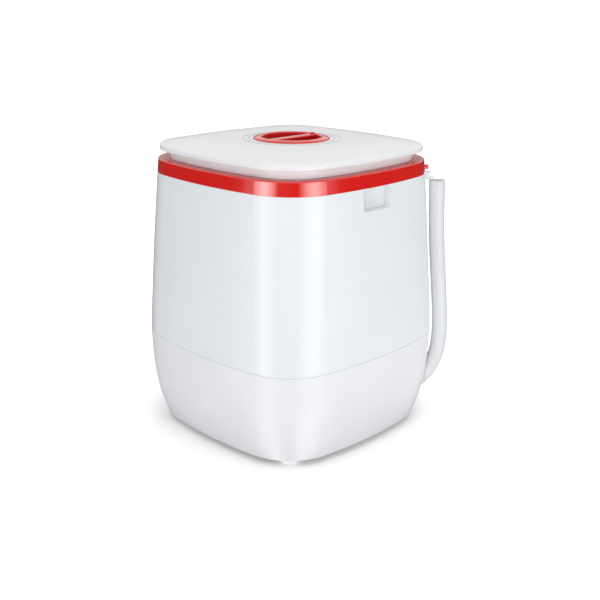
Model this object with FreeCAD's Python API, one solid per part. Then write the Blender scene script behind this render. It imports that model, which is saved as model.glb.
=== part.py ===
import FreeCAD, Part
import math
import os

from FreeCAD import Vector

# Compact top-loading washing machine: a white wash tub on a drive base, a red rim and a lift-off lid.
# Millimetres. +Z is up, the origin is on the pulsator axis at floor level and the front faces -Y.

# Body outline: a rounded square with bowed sides, widest at the seam between tub and base
FOOT_HEIGHT = 8.0
SEAM_HEIGHT = 143.0
TUB_TOP = 388.3
BASE_HALF = 167.0
SEAM_HALF = 185.1
TUB_TOP_HALF = 170.1
SKIRT_SWELL = 2.5
TUB_SWELL = 1.2
SIDE_BOW = 642.0
CORNER = 81.0
WALL = 3.5
SEAM_GROOVE = 0.8
SECTIONS = 6
PARALLEL = 0.99

# Clearances
FIT = 0.05
RUNNING = 0.05
SLACK = 0.3
ROOM = 1.0

# Tub floor, locating lip and carry grips
FLOOR_ABOVE_SEAM = 15.0
FLOOR_THICK = 5.0
FLOOR_SKIN = 1.0
LIP_DEPTH = 8.0
LIP_THICK = 2.5
GRIP_WIDTH = 56.5
GRIP_HEIGHT = 30.5
GRIP_DEPTH = 11.0
GRIP_CENTRE = -2.0
GRIP_LIP = 1.8
GRIP_ROUND = 5.0

# Red rim ring
BAND_HEIGHT = 20.0
BAND_LEAN = 1.8
BAND_ROUND = 2.0
LEDGE_WIDTH = 17.0
LEDGE_THICK = 2.5
RIM_WALL = 2.0
SEAT_DEPTH = 14.8
SEAT_WIDTH = 7.0
SEAT_THICK = 2.5
PLUG_DEPTH = 8.5
PLUG_THICK = 2.5
SEAL_THICK = 3.0
SEAL_WIDTH = 6.0

# Lid
LID_SETBACK = 4.6
LID_GAP = 12.3
LID_EDGE = 9.0
LID_CROWN = 6.3
LID_CROWN_WIDTH = 70.0
LID_ROUND = 4.5
LID_UNDER_ROUND = 2.0
COVER_WALL = 2.5
LINER_THICK = 3.0
COLLAR_WALL = 2.5
FLANGE_THICK = 2.0
LID_RING_OFFSETS = (8.0, 16.5)
LID_RING_WIDTH = 2.4
LID_RING_DEPTH = 0.7
LID_BOSS_REACH = 105.0
LID_BOSS_RADIUS = 5.0

# Lock handle, its cam and the two bolts that it throws under the rim ledge
KNOB_RADIUS = 55.5
KNOB_RIM_WIDTH = 11.5
KNOB_RIM_ROUND = 2.5
KNOB_RIM_SLOPE = 6.0
KNOB_RIM_FALL = 1.6
KNOB_RIDGE_ROUND = 10.0
KNOB_EDGE_ROUND = 1.0
KNOB_PROUD = 3.0
KNOB_FLOOR = 4.4
KNOB_BAR_WIDTH = 16.0
KNOB_BAR_DROP = 1.0
KNOB_BAR_ROUND = 2.5
KNOB_HUB_RADIUS = 14.0
POINTER_LENGTH = 7.0
POINTER_WIDTH = 5.0
POINTER_HEIGHT = 1.1
POINTER_ROUND = 1.5
WELL_FLOOR = 2.5
WELL_WALL = 2.5
CAM_RADIUS = 44.0
CAM_THICK = 4.0
CAM_GAP = 2.3
CAM_TURN = 90.0
CAM_START = 26.0
CAM_SLOT_STEPS = 6
BOLT_TRAVEL = 9.0
BOLT_WIDTH = 24.0
BOLT_THICK = 5.0
BOLT_PIN_RADIUS = 3.0
BOLT_HEEL = 8.0
BOLT_ROUND = 3.6
GUIDE_THICK = 2.5
GUIDE_INNER = 60.0
GUIDE_STOP = 9.8
KEEPER_PLACE = 95.0
KEEPER_DEPTH = 14.0
KEEPER_THICK = 2.0

# Pulsator, shaft and bearing
PULSATOR_RADIUS = 85.0
PULSATOR_THICK = 7.0
PULSATOR_CROWN = 9.0
PULSATOR_GAP = 3.0
PULSATOR_CONE_FOOT = 38.0
PULSATOR_CONE_TOP = 17.0
VANE_COUNT = 4
VANE_WIDTH = 15.0
VANE_HEIGHT = 24.0
VANE_SETBACK = 6.0
VANE_SLOPE = 19.5
VANE_INNER = 25.5
VANE_HUB = 8.5
PULSATOR_HOLES = 16
PULSATOR_HOLE = 2.25
PULSATOR_HOLE_SETBACK = 24.0
SHAFT_RADIUS = 6.0
SHAFT_SCREW = 12.0
HOUSING_RADIUS = 21.0
HOUSING_FLANGE = 44.0
HOUSING_FLANGE_THICK = 6.0
HOUSING_BOLT_CIRCLE = 34.0
NECK_RADIUS = 16.0
BUSH_RADIUS = 9.5
BUSH_LENGTH = 20.0
SEAL_RADIUS = 12.0
SEAL_HEIGHT = 7.0

# Belt drive, stacked up from the base plate
DRIVE_CLEARANCE = 8.0
SHAFT_TAIL = 3.5
NUT_HEIGHT = 6.0
NUT_FLATS = 18.0
HOUSING_GAP = 17.5
BIG_PITCH = 70.0
SMALL_PITCH = 14.0
CENTRE_DISTANCE = 112.0
MOTOR_BEARING_ANGLE = 225.0
BELT_TOP = 9.0
BELT_BOTTOM = 5.4
BELT_DEEP = 6.0
BELT_PROUD = 2.0
PULLEY_WIDTH = 14.0
PULLEY_RIM = 3.5
PULLEY_WEB = 6.0
PULLEY_HUB = 15.0
PULLEY_HOLES = 5
PULLEY_HOLE = 14.5

# Motor
STATOR_RADIUS = 48.0
STATOR_STACK = 40.0
ROTOR_RADIUS = 26.5
AIR_GAP = 0.5
MOTOR_CAP = 12.0
CAP_WALL = 3.0
COIL_THICK = 8.0
COIL_OUTER = 42.0
COIL_ROUND = 2.8
MOTOR_SHAFT_RADIUS = 5.0
MOTOR_SHAFT_TAIL = 5.5
MOTOR_BEARING_RADIUS = 11.0
MOTOR_BEARING_THICK = 7.0
FAN_RADIUS = 38.0
FAN_HEIGHT = 9.0
FAN_DISC = 1.5
FAN_BLADE_THICK = 1.5
FAN_ABOVE_PULLEY = 3.5
FAN_BELOW_CAP = 3.0
FAN_BLADES = 8
BRACKET_HALF = 58.0
BRACKET_THICK = 3.0
GROMMET_RADIUS = 8.0
GROMMET_THICK = 3.0
THROUGH_BOLT_CIRCLE = 45.0
THROUGH_BOLT_RADIUS = 1.6
THROUGH_BOLT_HEAD = 2.4
THROUGH_BOLT_FLATS = 5.4

# Base plate, posts and feet
PLATE_ABOVE_EDGE = 2.0
PLATE_THICK = 3.0
SKIRT_FLANGE = 6.0
SKIRT_FLANGE_THICK = 3.0
POST_RADIUS = 7.0
POST_SETBACK = 17.0
REAR_POST_SETBACK = 22.0
REAR_POST_ASIDE = 40.0
FOOT_RADIUS = 17.0
FOOT_NECK = 12.0
FOOT_SETBACK = 20.5
FOOT_SEAT = 4.8
FOOT_ROUND = 1.6
VENT_SLOTS = 7
VENT_PITCH = 12.0
VENT_LENGTH = 60.0
VENT_WIDTH = 4.0

# Screws
SCREW_RADIUS = 1.8
SCREW_HEAD = 4.0
SCREW_HEAD_HEIGHT = 2.4
SCREW_HEAD_ROUND = 1.0
RECESS_DEPTH = 1.2
RECESS_ARM = 2.4
RECESS_SLIT = 0.6
POST_SCREW = 22.0
BRACKET_SCREW = 14.0

# Drain sump, hose and hose hook, on the rear right diagonal
SUMP_REACH = 105.0
SUMP_RADIUS = 16.0
SUMP_WALL = 3.0
SUMP_FLANGE = 26.0
SUMP_FLANGE_THICK = 4.0
SUMP_BELOW_HOSE = 15.5
SUMP_SCREW_CIRCLE = 21.0
SPIGOT_SLACK = 0.7
SPIGOT_WALL = 2.5
SPIGOT_IN_HOSE = 19.0
GRATE_RADIUS = 17.0
GRATE_THICK = 2.0
GRATE_HOLE = 2.2
GRATE_PITCH = 8.0
GRATE_HOLES = 6
HOSE_RADIUS = 12.0
HOSE_WALL = 2.3
BEND_SHARE = 0.45
HOSE_ROUTE = (
    (128.0, 37.5), (150.0, 38.0), (177.0, 41.0), (200.5, 52.0), (217.8, 71.0), (229.4, 96.0),
    (233.3, 124.0), (232.9, 160.0), (228.3, 212.0), (223.2, 264.0), (219.2, 320.0), (217.8, 375.0),
)
CLAMP_ON_HOSE = 9.0
CLAMP_WIDTH = 9.0
CLAMP_THICK = 1.2
CLAMP_EAR = 8.0
CLAMP_SLACK = 0.6
HOOK_WIDTH = 12.0
HOOK_HEIGHT = 9.5
HOOK_ROUND = 2.4
HOOK_DROP = 0.3
HOOK_LENGTH = 8.4
HOOK_BRIDGE_DROP = 2.5
HOOK_BRIDGE_THICK = 4.5
HOOK_FINGER_THICK = 1.8
HOOK_FINGER_WIDTH = 8.0
HOOK_FINGER_LENGTH = 13.0
HOOK_FINGER_OUT = 11.5
PEG_RADIUS = 3.5
PEG_SHANK = 2.2
PEG_STAND = 6.0
PEG_ABOVE = 6.5
PEG_ROUND = 0.7

# Rear panel with the rocker switch and the cable gland
PANEL_RECESS = 12.0
PANEL_THICK = 3.0
PANEL_X = -40.0
PANEL_Z = 86.0
PANEL_WIDTH = 98.0
PANEL_HEIGHT = 46.0
SWITCH_TO_GLAND = 44.0
SWITCH_WIDTH = 15.0
SWITCH_HEIGHT = 27.0
SWITCH_DEPTH = 19.0
BEZEL_EDGE = 2.5
BEZEL_THICK = 2.0
KEY_RADIUS = 10.5
KEY_WIDTH = 10.4
KEY_FACE = 4.5
KEY_TILT = 11.0
KEY_PIN = 1.6
GLAND_BORE = 4.0
GLAND_RADIUS = 7.0
GLAND_FLANGE = 10.0
GLAND_FLANGE_THICK = 3.0
GLAND_NOSE = 8.0
GLAND_THREAD = 10.0
GLAND_NUT = 5.0

# Electrical pieces on the base plate
CAPACITOR_PLACE = (-115.0, 75.0)
CAPACITOR_RADIUS = 18.0
CAPACITOR_HEIGHT = 58.0
CAPACITOR_ROUND = 2.0
CLIP_THICK = 1.5
CLIP_HEIGHT = 14.0
TERMINAL_PLACE = (-62.0, 112.0)
TERMINAL_SIZE = (40.0, 20.0, 16.0)
TERMINAL_ROUND = 2.0
TERMINAL_WAYS = 4
TERMINAL_HOLE = 2.4
WIRE_RADIUS = 2.0
WIRE_BEND = 3.5

# Heights that follow from the driving sizes
RIM_TOP = TUB_TOP + BAND_HEIGHT
FLOOR_TOP = SEAM_HEIGHT + FLOOR_ABOVE_SEAM
FLOOR_BOTTOM = FLOOR_TOP - FLOOR_THICK
SEAT_TOP = RIM_TOP - SEAT_DEPTH
SEAL_TOP = SEAT_TOP + SEAL_THICK
LID_BOTTOM = RIM_TOP + LID_GAP
LID_EDGE_TOP = LID_BOTTOM + LID_EDGE
CROWN_TOP = LID_EDGE_TOP + LID_CROWN
LINER_TOP = SEAL_TOP + LINER_THICK
BOLT_LOW = LINER_TOP + SLACK
BOLT_HIGH = BOLT_LOW + BOLT_THICK
CAM_LOW = BOLT_HIGH + CAM_GAP
CAM_HIGH = CAM_LOW + CAM_THICK
WELL_LOW = CAM_HIGH + ROOM
WELL_TOP = WELL_LOW + WELL_FLOOR
KNOB_LOW = WELL_TOP + SLACK
KNOB_DISH = KNOB_LOW + KNOB_FLOOR
KNOB_TOP = CROWN_TOP + KNOB_PROUD
PLATE_LOW = FOOT_HEIGHT + PLATE_ABOVE_EDGE
PLATE_TOP = PLATE_LOW + PLATE_THICK
PULSATOR_LOW = FLOOR_TOP + PULSATOR_GAP
PULSATOR_HIGH = PULSATOR_LOW + PULSATOR_THICK
SHAFT_BOTTOM = PLATE_TOP + DRIVE_CLEARANCE
PULLEY_LOW = SHAFT_BOTTOM + SHAFT_TAIL + NUT_HEIGHT
PULLEY_HIGH = PULLEY_LOW + PULLEY_WIDTH
BELT_HEIGHT = (PULLEY_LOW + PULLEY_HIGH) / 2
HOUSING_BOTTOM = PULLEY_HIGH + HOUSING_GAP
FAN_LOW = PULLEY_HIGH + FAN_ABOVE_PULLEY
FAN_HIGH = FAN_LOW + FAN_HEIGHT
CAP_LOW = FAN_HIGH + FAN_BELOW_CAP
STATOR_LOW = CAP_LOW + MOTOR_CAP
STATOR_HIGH = STATOR_LOW + STATOR_STACK
CAP_HIGH = STATOR_HIGH + MOTOR_CAP
BRACKET_LOW = CAP_HIGH
BRACKET_HIGH = BRACKET_LOW + BRACKET_THICK

# Insets from the rim's outer outline
LEDGE_INSET = BAND_LEAN + LEDGE_WIDTH
COLLAR_INSET = LEDGE_INSET + ROOM
PLUG_INSET = WALL + SLACK

# Places that follow
SWITCH_X = PANEL_X - SWITCH_TO_GLAND / 2
GLAND_X = PANEL_X + SWITCH_TO_GLAND / 2
HOSE_BORE = HOSE_RADIUS - HOSE_WALL
SPIGOT_RADIUS = HOSE_BORE - SPIGOT_SLACK
HOSE_START, HOSE_LOW = HOSE_ROUTE[0]
MOTOR_X = CENTRE_DISTANCE * math.cos(math.radians(MOTOR_BEARING_ANGLE))
MOTOR_Y = CENTRE_DISTANCE * math.sin(math.radians(MOTOR_BEARING_ANGLE))
DIAGONAL = math.sqrt(0.5)
SUMP_XY = SUMP_REACH * DIAGONAL
ALONG_X = Vector(1, 0, 0)
ALONG_Y = Vector(0, 1, 0)
UP = Vector(0, 0, 1)
AXIS = Vector(0, 0, 0)
MOTOR = Vector(MOTOR_X, MOTOR_Y, 0)


# Basic solids

def rod(radius, low, high, x=0.0, y=0.0):
    return Part.makeCylinder(radius, high - low, Vector(x, y, low))


def tube(outer, inner, low, high, x=0.0, y=0.0):
    return rod(outer, low, high, x, y).cut(rod(inner, low, high, x, y))


def block(x_low, x_high, y_low, y_high, z_low, z_high):
    return Part.makeBox(x_high - x_low, y_high - y_low, z_high - z_low, Vector(x_low, y_low, z_low))


def rod_along_x(radius, x_low, x_high, y, z):
    return Part.makeCylinder(radius, x_high - x_low, Vector(x_low, y, z), ALONG_X)


def rod_along_y(radius, y_low, y_high, x, z):
    return Part.makeCylinder(radius, y_high - y_low, Vector(x, y_low, z), ALONG_Y)


def motor_rod(radius, low, high):
    return rod(radius, low, high, MOTOR_X, MOTOR_Y)


def motor_tube(outer, inner, low, high):
    return tube(outer, inner, low, high, MOTOR_X, MOTOR_Y)


def turned(outline, x=0.0, y=0.0):
    """Solid of revolution about a vertical axis, from (radius, height) points."""
    points = [Vector(x + radius, y, height) for radius, height in outline]
    face = Part.Face(Part.makePolygon(points + points[:1]))
    return face.revolve(Vector(x, y, 0), UP, 360)


def turn_copy(shape, degrees, centre=AXIS, axis=UP):
    copy = shape.copy()
    copy.rotate(centre, axis, degrees)
    return copy


def on_diagonal(shape):
    """Turn a shape built along +X onto the rear right diagonal."""
    return turn_copy(shape, 45)


def joined(shapes):
    return shapes[0].multiFuse(shapes[1:]).removeSplitter()


def round_edges_along(shape, direction, radius):
    """Round every straight edge of a box that runs along one direction."""
    edges = []
    for edge in shape.Edges:
        heading = edge.tangentAt(edge.FirstParameter)
        if abs(heading.dot(direction)) > PARALLEL:
            edges.append(edge)
    return shape.makeFillet(radius, edges)


def screw(x, y, seat, length):
    """Pan head screw that points up: the head hangs below its seat and has a cross recess."""
    low = seat - SCREW_HEAD_HEIGHT
    deep = low + RECESS_DEPTH
    head = rod(SCREW_HEAD, low, seat, x, y)
    head = head.makeFillet(SCREW_HEAD_ROUND, [head.Edges[2]])
    cross = block(x - RECESS_ARM, x + RECESS_ARM, y - RECESS_SLIT, y + RECESS_SLIT, low, deep)
    cross = cross.fuse(block(x - RECESS_SLIT, x + RECESS_SLIT, y - RECESS_ARM, y + RECESS_ARM, low, deep))
    return head.cut(cross).fuse(rod(SCREW_RADIUS, seat, seat + length, x, y))


def screw_hole(x, y, low, high):
    return rod(SCREW_RADIUS + FIT, low, high, x, y)


# The bowed square outline and what follows it

def corner_centre(half, bow, corner):
    """Where a corner arc is centred on both X and Y, so that it runs smoothly into the side arcs."""
    side = half - bow
    return (side + math.sqrt(2 * (bow - corner) ** 2 - side ** 2)) / 2


def corner_reach(half):
    """Distance from the axis to the outline at the middle of a corner."""
    return corner_centre(half, SIDE_BOW, CORNER) / DIAGONAL + CORNER


def outline_arcs(half, inset=0.0):
    """Side and corner arcs in turn: centre, radius, first angle and sweep."""
    centre = corner_centre(half, SIDE_BOW, CORNER)
    side = half - SIDE_BOW
    spread = math.degrees(math.atan2(centre, centre - side))
    arcs = []
    for quarter in range(4):
        turn = 90.0 * quarter
        cosine, sine = math.cos(math.radians(turn)), math.sin(math.radians(turn))
        side_centre = Vector(side * cosine, side * sine, 0)
        corner_point = Vector(centre * (cosine - sine), centre * (sine + cosine), 0)
        arcs.append((side_centre, SIDE_BOW - inset, turn - spread, 2 * spread))
        arcs.append((corner_point, CORNER - inset, turn + spread, 90 - 2 * spread))
    return arcs


def polar(centre, radius, degrees, height):
    angle = math.radians(degrees)
    return Vector(centre.x + radius * math.cos(angle), centre.y + radius * math.sin(angle), height)


def outline_wire(half, height, inset=0.0):
    edges = []
    for centre, radius, first, sweep in outline_arcs(half, inset):
        ends = [polar(centre, radius, first + sweep * share, height) for share in (0, 0.5, 1)]
        edges.append(Part.Arc(*ends).toShape())
    return Part.Wire(edges)


def outline_plate(half, low, high, inset=0.0):
    return Part.Face(outline_wire(half, low, inset)).extrude(Vector(0, 0, high - low))


def ring_around(half, section):
    """Carry a section of (inset, height) points round the outline; a pair of points is an arc."""
    pieces = []
    for centre, radius, first, sweep in outline_arcs(half):
        def place(point):
            return polar(centre, radius - point[0], first, point[1])
        edges = []
        at = section[0]
        for step in section[1:] + section[:1]:
            if isinstance(step[0], tuple):
                through, at_next = step
                edges.append(Part.Arc(place(at), place(through), place(at_next)).toShape())
            else:
                at_next = step
                edges.append(Part.LineSegment(place(at), place(at_next)).toShape())
            at = at_next
        face = Part.Face(Part.Wire(edges))
        pieces.append(face.revolve(centre, UP, sweep))
    return joined(pieces)


def skirt_half(height):
    rise = max(SEAM_HEIGHT - height, 0.0) / (SEAM_HEIGHT - FOOT_HEIGHT)
    return SEAM_HALF - (SEAM_HALF - BASE_HALF) * rise ** SKIRT_SWELL


def tub_half(height):
    rise = max(height - SEAM_HEIGHT, 0.0) / (TUB_TOP - SEAM_HEIGHT)
    return SEAM_HALF - (SEAM_HALF - TUB_TOP_HALF) * rise ** TUB_SWELL


def swelling_body(half_at, low, high, inset):
    wires = []
    for step in range(SECTIONS):
        height = low + (high - low) * step / (SECTIONS - 1)
        wires.append(outline_wire(half_at(height), height, inset))
    return Part.makeLoft(wires, True, False)


# Tub, base and rim

def grip_box(side, grow, top):
    """Hollow of a carry grip, or the block around it where grow is the wall."""
    middle = TUB_TOP - GRIP_LIP - GRIP_HEIGHT / 2
    back = tub_half(middle) - GRIP_DEPTH - grow
    low = TUB_TOP - GRIP_LIP - GRIP_HEIGHT - grow
    half_width = GRIP_WIDTH / 2 + grow
    outside = SEAM_HALF + ROOM
    box = block(back, outside, GRIP_CENTRE - half_width, GRIP_CENTRE + half_width, low, top)
    box = round_edges_along(box, ALONG_X, GRIP_ROUND)
    if side < 0:
        box = box.mirror(AXIS, ALONG_X)
    return box


def make_tub():
    """Wash tub: one moulded wall with the floor, carry grips, locating lip and posts for the base."""
    outside = swelling_body(tub_half, SEAM_HEIGHT, TUB_TOP, 0.0)
    hollow = swelling_body(tub_half, FLOOR_TOP, TUB_TOP + ROOM, WALL)
    under = swelling_body(tub_half, SEAM_HEIGHT - ROOM, FLOOR_BOTTOM, WALL)
    tub = outside.cut(hollow).cut(under)
    for side in (1, -1):
        tub = tub.fuse(grip_box(side, WALL, TUB_TOP).common(outside))
    for side in (1, -1):
        tub = tub.cut(grip_box(side, 0.0, TUB_TOP - GRIP_LIP))
    lip_inset = WALL + SLACK
    lip = ring_around(SEAM_HALF, [
        (WALL / 2, SEAM_HEIGHT), (lip_inset, SEAM_HEIGHT), (lip_inset, SEAM_HEIGHT - LIP_DEPTH),
        (lip_inset + LIP_THICK, SEAM_HEIGHT - LIP_DEPTH), (lip_inset + LIP_THICK, FLOOR_BOTTOM),
        (WALL / 2, FLOOR_BOTTOM)])
    grommet_top = BRACKET_HIGH + GROMMET_THICK
    posts = [rod(POST_RADIUS, PLATE_TOP, FLOOR_BOTTOM, x, y) for x, y in post_places()]
    bosses = [rod(GROMMET_RADIUS, grommet_top, FLOOR_BOTTOM, x, y) for x, y in bracket_corners()]
    tub = tub.multiFuse([lip] + posts + bosses)
    tub = tub.cut(rod(NECK_RADIUS + SLACK, FLOOR_BOTTOM, FLOOR_TOP))
    tub = tub.cut(rod(SUMP_RADIUS - SUMP_WALL, FLOOR_BOTTOM, FLOOR_TOP, SUMP_XY, SUMP_XY))
    tub = tub.cut(rod(GRATE_RADIUS + SLACK, FLOOR_TOP - GRATE_THICK, FLOOR_TOP, SUMP_XY, SUMP_XY))
    for x, y in post_places():
        tub = tub.cut(screw_hole(x, y, PLATE_TOP, PLATE_TOP + POST_SCREW))
    for x, y in bracket_corners():
        tub = tub.cut(screw_hole(x, y, grommet_top, grommet_top + BRACKET_SCREW))
    for x, y in floor_screw_places():
        tub = tub.cut(screw_hole(x, y, FLOOR_BOTTOM, FLOOR_TOP - FLOOR_SKIN))
    return tub.cut(seam_groove()).removeSplitter()


def seam_groove():
    """Fine groove all round where the tub meets the skirt, cut half out of each."""
    spread = SEAM_GROOVE + ROOM
    return ring_around(SEAM_HALF, [
        (SEAM_GROOVE, SEAM_HEIGHT), (-ROOM, SEAM_HEIGHT + spread), (-ROOM, SEAM_HEIGHT - spread)])


def post_places():
    reach = BASE_HALF - POST_SETBACK
    rear = BASE_HALF - REAR_POST_SETBACK
    return [(reach, 0.0), (-reach, 0.0), (0.0, -reach), (REAR_POST_ASIDE, rear)]


def panel_face():
    return skirt_half(PANEL_Z) - PANEL_RECESS


def rear_panel_block(grow, depth):
    half_width = PANEL_WIDTH / 2 + grow
    half_height = PANEL_HEIGHT / 2 + grow
    return block(PANEL_X - half_width, PANEL_X + half_width, depth, SEAM_HALF + ROOM,
                 PANEL_Z - half_height, PANEL_Z + half_height)


def make_base_skirt():
    """Base shell: opaque moulded skirt with a foot flange, a sunk rear panel and the hose outlet."""
    outside = swelling_body(skirt_half, FOOT_HEIGHT, SEAM_HEIGHT, 0.0)
    hollow = swelling_body(skirt_half, FOOT_HEIGHT, SEAM_HEIGHT, WALL)
    flange_half = skirt_half(PLATE_TOP)
    flange_top = PLATE_TOP + SKIRT_FLANGE_THICK
    flange = outline_plate(flange_half, PLATE_TOP, flange_top, WALL / 2)
    flange = flange.cut(outline_plate(flange_half, PLATE_TOP, flange_top, WALL + SKIRT_FLANGE))
    face = panel_face()
    panel = rear_panel_block(WALL, face - PANEL_THICK).common(outside)
    skirt = outside.cut(hollow).fuse(flange).fuse(panel).cut(rear_panel_block(0.0, face))
    half_width = SWITCH_WIDTH / 2 + SLACK
    half_height = SWITCH_HEIGHT / 2 + SLACK
    skirt = skirt.cut(block(SWITCH_X - half_width, SWITCH_X + half_width, face - PANEL_THICK, face,
                            PANEL_Z - half_height, PANEL_Z + half_height))
    skirt = skirt.cut(rod_along_y(GLAND_RADIUS + SLACK, face - PANEL_THICK, face, GLAND_X, PANEL_Z))
    skirt = skirt.cut(bent_rod(hose_points(), HOSE_RADIUS + ROOM))
    return skirt.cut(seam_groove()).removeSplitter()


def make_base_plate():
    """Pressed tray that closes the base, slotted for motor cooling."""
    plate = outline_plate(skirt_half(PLATE_LOW), PLATE_LOW, PLATE_TOP, WALL + SLACK)
    cuts = [screw_hole(x, y, PLATE_LOW, PLATE_TOP) for x, y in post_places() + foot_places()]
    for slot in range(VENT_SLOTS):
        x = MOTOR_X + (slot - (VENT_SLOTS - 1) / 2) * VENT_PITCH
        cuts.append(block(x - VENT_WIDTH / 2, x + VENT_WIDTH / 2, MOTOR_Y - VENT_LENGTH / 2,
                          MOTOR_Y + VENT_LENGTH / 2, PLATE_LOW, PLATE_TOP))
    return plate.cut(cuts)


def foot_places():
    reach = (corner_reach(BASE_HALF) - FOOT_SETBACK) * DIAGONAL
    return [(x, y) for x in (-reach, reach) for y in (-reach, reach)]


def make_feet():
    """Four rubber feet: a pad under the skirt's edge, a neck up to the tray and a sunk seat for the screw."""
    feet = []
    for x, y in foot_places():
        pad = rod(FOOT_RADIUS, 0.0, FOOT_HEIGHT - SLACK, x, y)
        pad = pad.makeFillet(FOOT_ROUND, [pad.Edges[2]])
        foot = pad.fuse(rod(FOOT_NECK, FOOT_SEAT, PLATE_LOW, x, y)).removeSplitter()
        recess = rod(SCREW_HEAD + ROOM, 0.0, FOOT_SEAT, x, y)
        feet.append(foot.cut([recess, screw_hole(x, y, FOOT_SEAT, PLATE_LOW)]))
    return feet


def make_foot_screws():
    return [screw(x, y, FOOT_SEAT, PLATE_TOP - FOOT_SEAT + ROOM) for x, y in foot_places()]


def make_base_screws():
    """Long screws through the tray into the tub posts; they clamp the skirt between the two."""
    return [screw(x, y, PLATE_LOW, PLATE_THICK + POST_SCREW - ROOM) for x, y in post_places()]


def make_rim_ring():
    """Red rim: the outer band, the flat ledge, and a sunk seat inside for the lid."""
    plug = PLUG_INSET + PLUG_THICK
    wall = LEDGE_INSET - RIM_WALL
    seat_edge = LEDGE_INSET + SEAT_WIDTH
    ledge_low = RIM_TOP - LEDGE_THICK
    round_mid = BAND_ROUND * (1 - DIAGONAL)
    ring = ring_around(TUB_TOP_HALF, [
        (0.0, TUB_TOP), (BAND_LEAN, RIM_TOP - BAND_ROUND),
        ((BAND_LEAN + round_mid, RIM_TOP - round_mid), (BAND_LEAN + BAND_ROUND, RIM_TOP)),
        (LEDGE_INSET, RIM_TOP), (LEDGE_INSET, SEAT_TOP), (seat_edge, SEAT_TOP),
        (seat_edge, SEAT_TOP - SEAT_THICK), (wall, SEAT_TOP - SEAT_THICK), (wall, ledge_low),
        (plug, ledge_low), (plug, TUB_TOP - PLUG_DEPTH), (PLUG_INSET, TUB_TOP - PLUG_DEPTH),
        (PLUG_INSET, TUB_TOP)])
    for side in (1, -1):
        ring = ring.cut(grip_box(side, WALL + ROOM, TUB_TOP))
    slot_half = BOLT_WIDTH / 2 + ROOM
    window = block(-slot_half, slot_half, TUB_TOP_HALF - seat_edge, TUB_TOP_HALF - wall + ROOM,
                   BOLT_LOW - ROOM, BOLT_HIGH + ROOM)
    return ring.cut([window, turn_copy(window, 180), peg_hole()])


def make_lid_seal():
    """Soft gasket on the rim's seat, which carries the lid."""
    outer = LEDGE_INSET + SLACK
    inner = outer + SEAL_WIDTH
    return ring_around(TUB_TOP_HALF, [
        (outer, SEAT_TOP), (outer, SEAL_TOP), (inner, SEAL_TOP), (inner, SEAT_TOP)])


# Lid and lock

def crowned_block(inset, drop, low):
    """Solid under the lid's crowned top, with its edge set in and its top lowered by the same wall."""
    edge = LID_SETBACK + inset
    edge_top = LID_EDGE_TOP - drop
    crown = CROWN_TOP - drop
    flat = LID_SETBACK + LID_CROWN_WIDTH
    edge_round = LID_ROUND - inset
    under = 0.0 if inset else LID_UNDER_ROUND
    mid = 1 - DIAGONAL
    shoulder = edge + edge_round
    middle_inset = (shoulder + flat) / 2
    bulge = crown - (crown - edge_top) * ((flat - middle_inset) / (flat - shoulder)) ** 2
    section = [(edge + under, low)]
    if under:
        section.append(((edge + under * mid, low + under * mid), (edge, low + under)))
    section += [
        (edge, edge_top - edge_round),
        ((edge + edge_round * mid, edge_top - edge_round * mid), (shoulder, edge_top)),
        ((middle_inset, bulge), (flat, crown)), (flat, low)]
    rim = ring_around(TUB_TOP_HALF, section)
    return joined([rim, outline_plate(TUB_TOP_HALF, low, crown, flat)])


def lid_boss_places():
    return [(x, y) for x in (-LID_BOSS_REACH, LID_BOSS_REACH) for y in (-LID_BOSS_REACH, LID_BOSS_REACH)]


def make_lid_cover():
    """Crowned top shell of the lid, with a round well for the lock handle and screw bosses."""
    cover = crowned_block(0.0, 0.0, LID_BOTTOM).cut(crowned_block(COVER_WALL, COVER_WALL, LID_BOTTOM))
    well = KNOB_RADIUS + ROOM
    cover = cover.cut(rod(well, LID_BOTTOM, CROWN_TOP + ROOM))
    cover = cover.fuse(tube(well + WELL_WALL, well, WELL_LOW, CROWN_TOP - COVER_WALL / 2))
    cover = cover.fuse(tube(well + WELL_WALL, KNOB_HUB_RADIUS + SLACK, WELL_LOW, WELL_TOP))
    bosses = [rod(LID_BOSS_RADIUS, LINER_TOP, CROWN_TOP - COVER_WALL, x, y) for x, y in lid_boss_places()]
    cover = cover.multiFuse(bosses)
    for x, y in lid_boss_places():
        cover = cover.cut(screw_hole(x, y, LINER_TOP, LID_BOTTOM))
    for offset in LID_RING_OFFSETS:
        inner = KNOB_RADIUS + offset - LID_RING_WIDTH / 2
        outer = inner + LID_RING_WIDTH
        cover = cover.cut(tube(outer, inner, CROWN_TOP - LID_RING_DEPTH, CROWN_TOP + ROOM))
    return cover.removeSplitter()


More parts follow.
